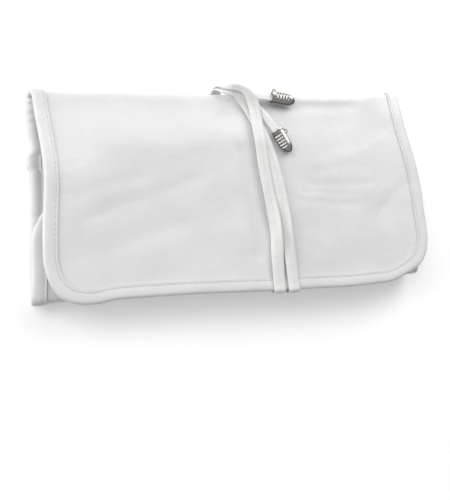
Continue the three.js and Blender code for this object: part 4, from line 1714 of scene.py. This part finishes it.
class Tie(SubAssembly):
    """The strap: two strands wound round the case, their tails, and the two metal tips.

    A row of a route is x, s, depth and roll in degrees.
    """

    # Width and thickness of the strap on the back, on the front and in the tails
    PRESSED, FULL, TAIL = (7.5, 0.7), (7.5, 1.3), (4.9, 1.3)
    # Its width where it is bunched over the top fold, and s where it starts to widen and is wide
    BUNCHED = 4.8
    WIDENS = (1.0, 9.0)
    # Depth of its middle on the back
    ON_BACK = 0.45
    # x of each strand at the front's free edge, and on the back near the inner and near the top fold
    EDGE_X = {1: 16.0, 2: 25.2}
    LOW_X = {1: 25.2, 2: 16.0}
    TOP_X = {1: -4.0, 2: -13.0}
    # s and depth of the hook round the front panel's free edge
    HOOK = ((123.0, -0.9), (127.375, -0.9), (128.3, 1.775), (127.375, 4.45), (123.3, 5.79))

    FIRST = (
        (-8.4, -9.2, -2.3, 0.0),
        (-7.9, -5.0, -3.8, 10.0),
        (-5.4, -0.8, -5.4, 30.0),
        (-1.9, 1.0, -6.3, 44.0),
        (2.0, 1.6, -6.4, 44.0),
        (5.9, 2.6, -6.1, 38.0),
        (9.7, 5.6, -5.2, 22.0),
        (12.0, 11.6, -3.8, 8.0),
        (12.5, 17.8, -2.9, 0.0),
        (12.5, 24.0, -2.6, 0.0),
        (12.9, 34.0, -2.6, 0.0),
        (13.7, 52.0, -2.4, 0.0),
        (15.4, 70.0, -2.4, 0.0),
        (16.8, 92.0, -2.8, 34.0),
        (16.3, 110.0, -1.4, 6.0),
    )
    SECOND = (
        (-9.6, -9.2, -0.8, 0.0),
        (-9.2, -5.2, -1.7, 0.0),
        (-6.8, -0.2, -3.0, 14.0),
        (-2.4, 2.4, -3.8, 30.0),
        (2.0, 4.0, -3.2, 30.0),
        (6.0, 7.2, -2.1, 16.0),
        (9.5, 12.4, -1.3, 4.0),
        (11.9, 18.6, -1.0, 0.0),
        (14.6, 26.8, -1.0, 0.0),
        (17.6, 36.8, -1.2, 0.0),
        (21.1, 52.0, -1.6, 0.0),
        (23.2, 70.0, -1.8, 0.0),
        (24.0, 92.0, -1.9, 24.0),
        (25.0, 110.0, -1.2, 0.0),
    )
    TAIL_1 = (
        (9.8, 5.2, -3.2, 0.0),
        (14.0, 4.9, -3.3, 0.0),
        (18.5, 5.0, -3.3, -4.0),
        (27.4, 5.9, -3.4, -8.0),
    )
    TAIL_2 = (
        (11.0, 8.0, -1.5, 0.0),
        (15.4, 12.6, -1.8, 12.0),
        (20.0, 20.0, -2.5, 20.0),
        (25.8, 29.6, -2.9, 10.0),
    )
    TIPS = (
        Tip("tie_tip_1", 24.3, 5.4, -3.4, 9.0, -14.0, -1.0, -1.0, 0.07, -0.2),
        Tip("tie_tip_2", 24.6, 27.26, -3.0, 62.0, -6.0, 1.0, -1.0, 0.2, 0.55),
    )

    def build(self) -> list[bpy.types.Object]:
        """Builds the strands, the tails and the tips.

        Returns:
            The objects.
        """
        made = []
        for number, route in ((1, self.FIRST), (2, self.SECOND)):
            made += self.strand(number, route)
        for number, route in ((1, self.TAIL_1), (2, self.TAIL_2)):
            rows = tuple((*row, *self.TAIL) for row in route)
            made += self.sewn(Ribbon(f"tie_tail_{number}", rows), [f"tie_tail_{number}"], None)
        for tip in self.TIPS:
            shell = joined([tip.mesh(self.sheet), tip.lug(self.sheet)])
            piece = make_object(f"{tip.name}_cap", *shell, crease_angle=TAPE_ANGLE)
            dress(piece, self.finishes.nickel, "strap_tip", tip.name)
            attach(piece, "front_panel")
            made.append(piece)
        return made

    def width_at(self, s: float) -> float:
        """Width of a strand at s: bunched where it passes over the top fold."""
        return self.BUNCHED + (self.FULL[0] - self.BUNCHED) * float(smooth(np.array(s), *self.WIDENS))

    def strand(self, number: int, route: tuple[tuple[float, ...], ...]) -> list[bpy.types.Object]:
        """One strand: over the front to the free edge, and over the top fold and the back to the inner fold.

        Args:
            number: 1 or 2.
            route: Its way over the front, from the top fold to the free edge.

        Returns:
            The bands and their stitches.
        """
        a, b, c, d = self.sheet.fold_lines
        top_s, low_s = a - b, a - c
        middle_s = a - self.sheet.splits[1]
        x_top, x_low = self.TOP_X[number], self.LOW_X[number]
        x_start, s_start, depth_start = route[0][:3]
        front = [(*row, self.width_at(row[1]), self.FULL[1]) for row in route]
        front += [(self.EDGE_X[number], s, depth, 0.0, *self.FULL) for s, depth in self.HOOK]
        on_back = (self.ON_BACK, 0.0, *self.PRESSED)
        middle = ((x_top + x_low) / 2, middle_s, *on_back)
        upper = (
            (x_start, s_start, depth_start, 0.0, self.BUNCHED, self.FULL[1]),
            ((x_start + x_top) / 2, top_s + 4.0, 0.55 * depth_start + 0.1, 0.0, 6.0, 0.9),
            (x_top + 1.0, top_s - 4.0, *on_back),
            (x_top + 4.2, top_s - 18.0, *on_back),
            middle,
        )
        lower = (
            middle,
            (x_low - 3.0, low_s + 16.0, *on_back),
            (x_low - 0.4, low_s + 3.0, *on_back),
            (x_low, low_s - 4.0, *on_back),
            (x_low, a - d + 0.8, *on_back),
        )
        name, turn = f"tie_front_strand_{number}", f"tie_top_turn_{number}"
        back, edge = f"tie_back_strand_{number}", f"tie_edge_turn_{number}"
        made = self.sewn(Ribbon(name, tuple(front)), [name, turn], Stretch.FRONT)
        made += self.sewn(Ribbon(f"tie_upper_strand_{number}", upper), [turn, back], Stretch.TOP)
        made += self.sewn(Ribbon(f"tie_lower_strand_{number}", lower), [back, edge], Stretch.BOTTOM)
        return made

    def sewn(self, ribbon: Ribbon, nodes: list[str], stretch: Stretch | None) -> list[bpy.types.Object]:
        """A ribbon and its seam, baked in place when a stretch is given, or put on the front panel where
        there is none.
        """
        band = make_object(f"{ribbon.name}_band", *ribbon.mesh(self.sheet), crease_angle=TAPE_ANGLE)
        dress(band, self.finishes.strap, "strap", *nodes)
        row = self.stitched(f"{ribbon.name}_stitches", [ribbon.stitches(self.sheet)], "strap")
        for piece in (band, row):
            if stretch is None:
                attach(piece, "front_panel")
            else:
                self.carrier.bend(piece, stretch)
        return [band, row]


class Studio:
    """Floor, lights and camera."""

    # The camera: angles in degrees, distance and target in millimetres, focal length in pixels of a frame
    YAW, TILT, ROLL = 17.15, -3.8, 4.96
    DISTANCE = 363.3
    TARGET = (-12.67, -36.97, 12.0)
    FOCAL_PIXELS, FRAME_PIXELS = 596.9, 500.0
    SENSOR = 36.0
    CLIP = (0.01, 20.0)
    # The lights: name, place and size in metres, and power in watts
    LAMPS = (
        ("key_light", (0.6, 0.8, 0.62), 0.9, 8.8),
        ("side_light", (-1.6, 0.5, 0.5), 1.1, 17.0),
        ("fill_light", (-0.83, 0.83, 1.35), 1.2, 12.5),
    )
    AIM = (0.0, 0.0, 0.01)
    # The sky: heights between which it brightens, its strengths there, and the backdrop's
    DARK_BELOW, BRIGHT_ABOVE = 0.15, 0.75
    HORIZON, ZENITH = 0.02, 0.45
    BACKDROP = 1.05
    # The floor's half width and its height, in metres
    FLOOR_REACH, FLOOR_HEIGHT = 6.0, -0.0001

    def __init__(self, finishes: Finishes) -> None:
        """Keeps the finishes."""
        self.finishes = finishes

    def camera(self) -> None:
        """The camera: turned by YAW towards the flap end and by TILT towards the top fold, then rolled."""
        yaw, tilt, roll = (math.radians(angle) for angle in (self.YAW, self.TILT, self.ROLL))
        back = Vector((-math.sin(yaw) * math.cos(tilt), math.sin(tilt), math.cos(yaw) * math.cos(tilt)))
        right = (-back).cross(Vector((0.0, 1.0, 0.0))).normalized()
        up = right.cross(-back)
        turned_right = right * math.cos(roll) - up * math.sin(roll)
        turned_up = up * math.cos(roll) + right * math.sin(roll)
        basis = Matrix((turned_right, turned_up, back)).transposed()
        data = bpy.data.cameras.new("photo_camera")
        data.sensor_width = self.SENSOR
        data.lens = self.FOCAL_PIXELS / self.FRAME_PIXELS * data.sensor_width
        data.clip_start, data.clip_end = self.CLIP
        camera = add_object("photo_camera", data)
        camera.matrix_world = basis.to_4x4()
        camera.location = (Vector(self.TARGET) + back * self.DISTANCE) * MM
        bpy.context.scene.camera = camera

    def light(self, name: str, place: Vector, size: float, power: float) -> None:
        """A square soft light that looks at the case."""
        data = bpy.data.lights.new(name, "AREA")
        data.shape = "SQUARE"
        data.size = size
        data.energy = power
        lamp = add_object(name, data)
        lamp.location = place
        lamp.rotation_mode = "QUATERNION"
        lamp.rotation_quaternion = (Vector(self.AIM) - place).to_track_quat("-Z", "Y")

    def sky(self) -> None:
        """The studio's ceiling, bright overhead and dark towards the horizon, behind a white backdrop."""
        world = bpy.data.worlds.new("studio_sky")
        world.use_nodes = True
        tree = world.node_tree
        direction = tree.nodes.new("ShaderNodeTexCoord")
        split = tree.nodes.new("ShaderNodeSeparateXYZ")
        height = tree.nodes.new("ShaderNodeMapRange")
        ends = {
            "From Min": self.DARK_BELOW,
            "From Max": self.BRIGHT_ABOVE,
            "To Min": self.HORIZON,
            "To Max": self.ZENITH,
        }
        for name, end in ends.items():
            height.inputs[name].default_value = end
        tree.nodes["Background"].inputs["Color"].default_value = (1.0, 1.0, 1.0, 1.0)
        tree.links.new(direction.outputs["Generated"], split.inputs["Vector"])
        tree.links.new(split.outputs["Z"], height.inputs["Value"])
        rays = tree.nodes.new("ShaderNodeLightPath")
        seen = tree.nodes.new("ShaderNodeMix")
        seen.inputs["B"].default_value = self.BACKDROP
        tree.links.new(rays.outputs["Is Camera Ray"], seen.inputs["Factor"])
        tree.links.new(height.outputs["Result"], seen.inputs["A"])
        tree.links.new(seen.outputs["Result"], tree.nodes["Background"].inputs["Strength"])
        bpy.context.scene.world = world

    def build(self) -> None:
        """Puts up the floor, the lights, the sky and the camera."""
        bpy.context.scene.view_settings.view_transform = "Standard"
        self.sky()
        for name, place, size, power in self.LAMPS:
            self.light(name, Vector(place), size, power)
        mesh = bpy.data.meshes.new("studio_floor")
        far, height = self.FLOOR_REACH, self.FLOOR_HEIGHT
        corners = [(-far, -far, height), (far, -far, height), (far, far, height), (-far, far, height)]
        mesh.from_pydata(corners, [], [(0, 1, 2, 3)])
        mesh.materials.append(self.finishes.floor)
        floor = add_object("studio_floor", mesh)
        self.camera()


FRONT_CREASES = (
    Crease(43.0, 9.0, 82.0, 8.0, 4.5, 0.8),
    Crease(36.0, 71.0, 74.0, 74.0, 2.4, 0.22),
    Crease(44.0, 60.5, 88.0, 61.0, 2.6, 0.26),
    Crease(38.0, 65.5, 67.0, 67.0, 2.0, 0.2),
    Crease(50.0, 53.0, 74.0, 47.0, 3.0, 0.2),
    Crease(58.0, 39.0, 103.0, 26.0, 6.0, 0.3),
    Crease(92.0, 78.0, 112.0, 64.0, 4.0, 0.3),
    Crease(-94.0, 78.0, -27.0, 56.0, 5.0, 0.34),
    Crease(-98.0, 62.0, -62.0, 54.0, 4.0, 0.26),
    Crease(-80.0, 96.0, -38.0, 84.0, 6.0, 0.3),
    Crease(-106.0, 47.0, -97.0, 44.0, 1.6, 0.22),
    Crease(-108.0, 63.0, -99.0, 66.0, 1.8, 0.2),
    Crease(2.0, 38.0, 7.0, 104.0, 4.0, 0.7),
    Crease(-22.0, 24.0, 0.0, 14.0, 4.0, 0.3),
)


def main() -> None:
    """Builds the case and its studio."""
    logging.basicConfig(level=logging.INFO, format="%(message)s")
    sheet = BentSheet.from_frame(frame, FRONT_CREASES)
    finishes = Finishes()
    Studio(finishes).build()
    carrier = Carrier(sheet)
    for kind in (Panels, Binding, Flap, Pockets, Tie):
        for piece in kind(carrier, finishes).build():
            log.info("%s: %d faces", piece.name, len(piece.data.polygons))


if __name__ == "__main__":
    main()
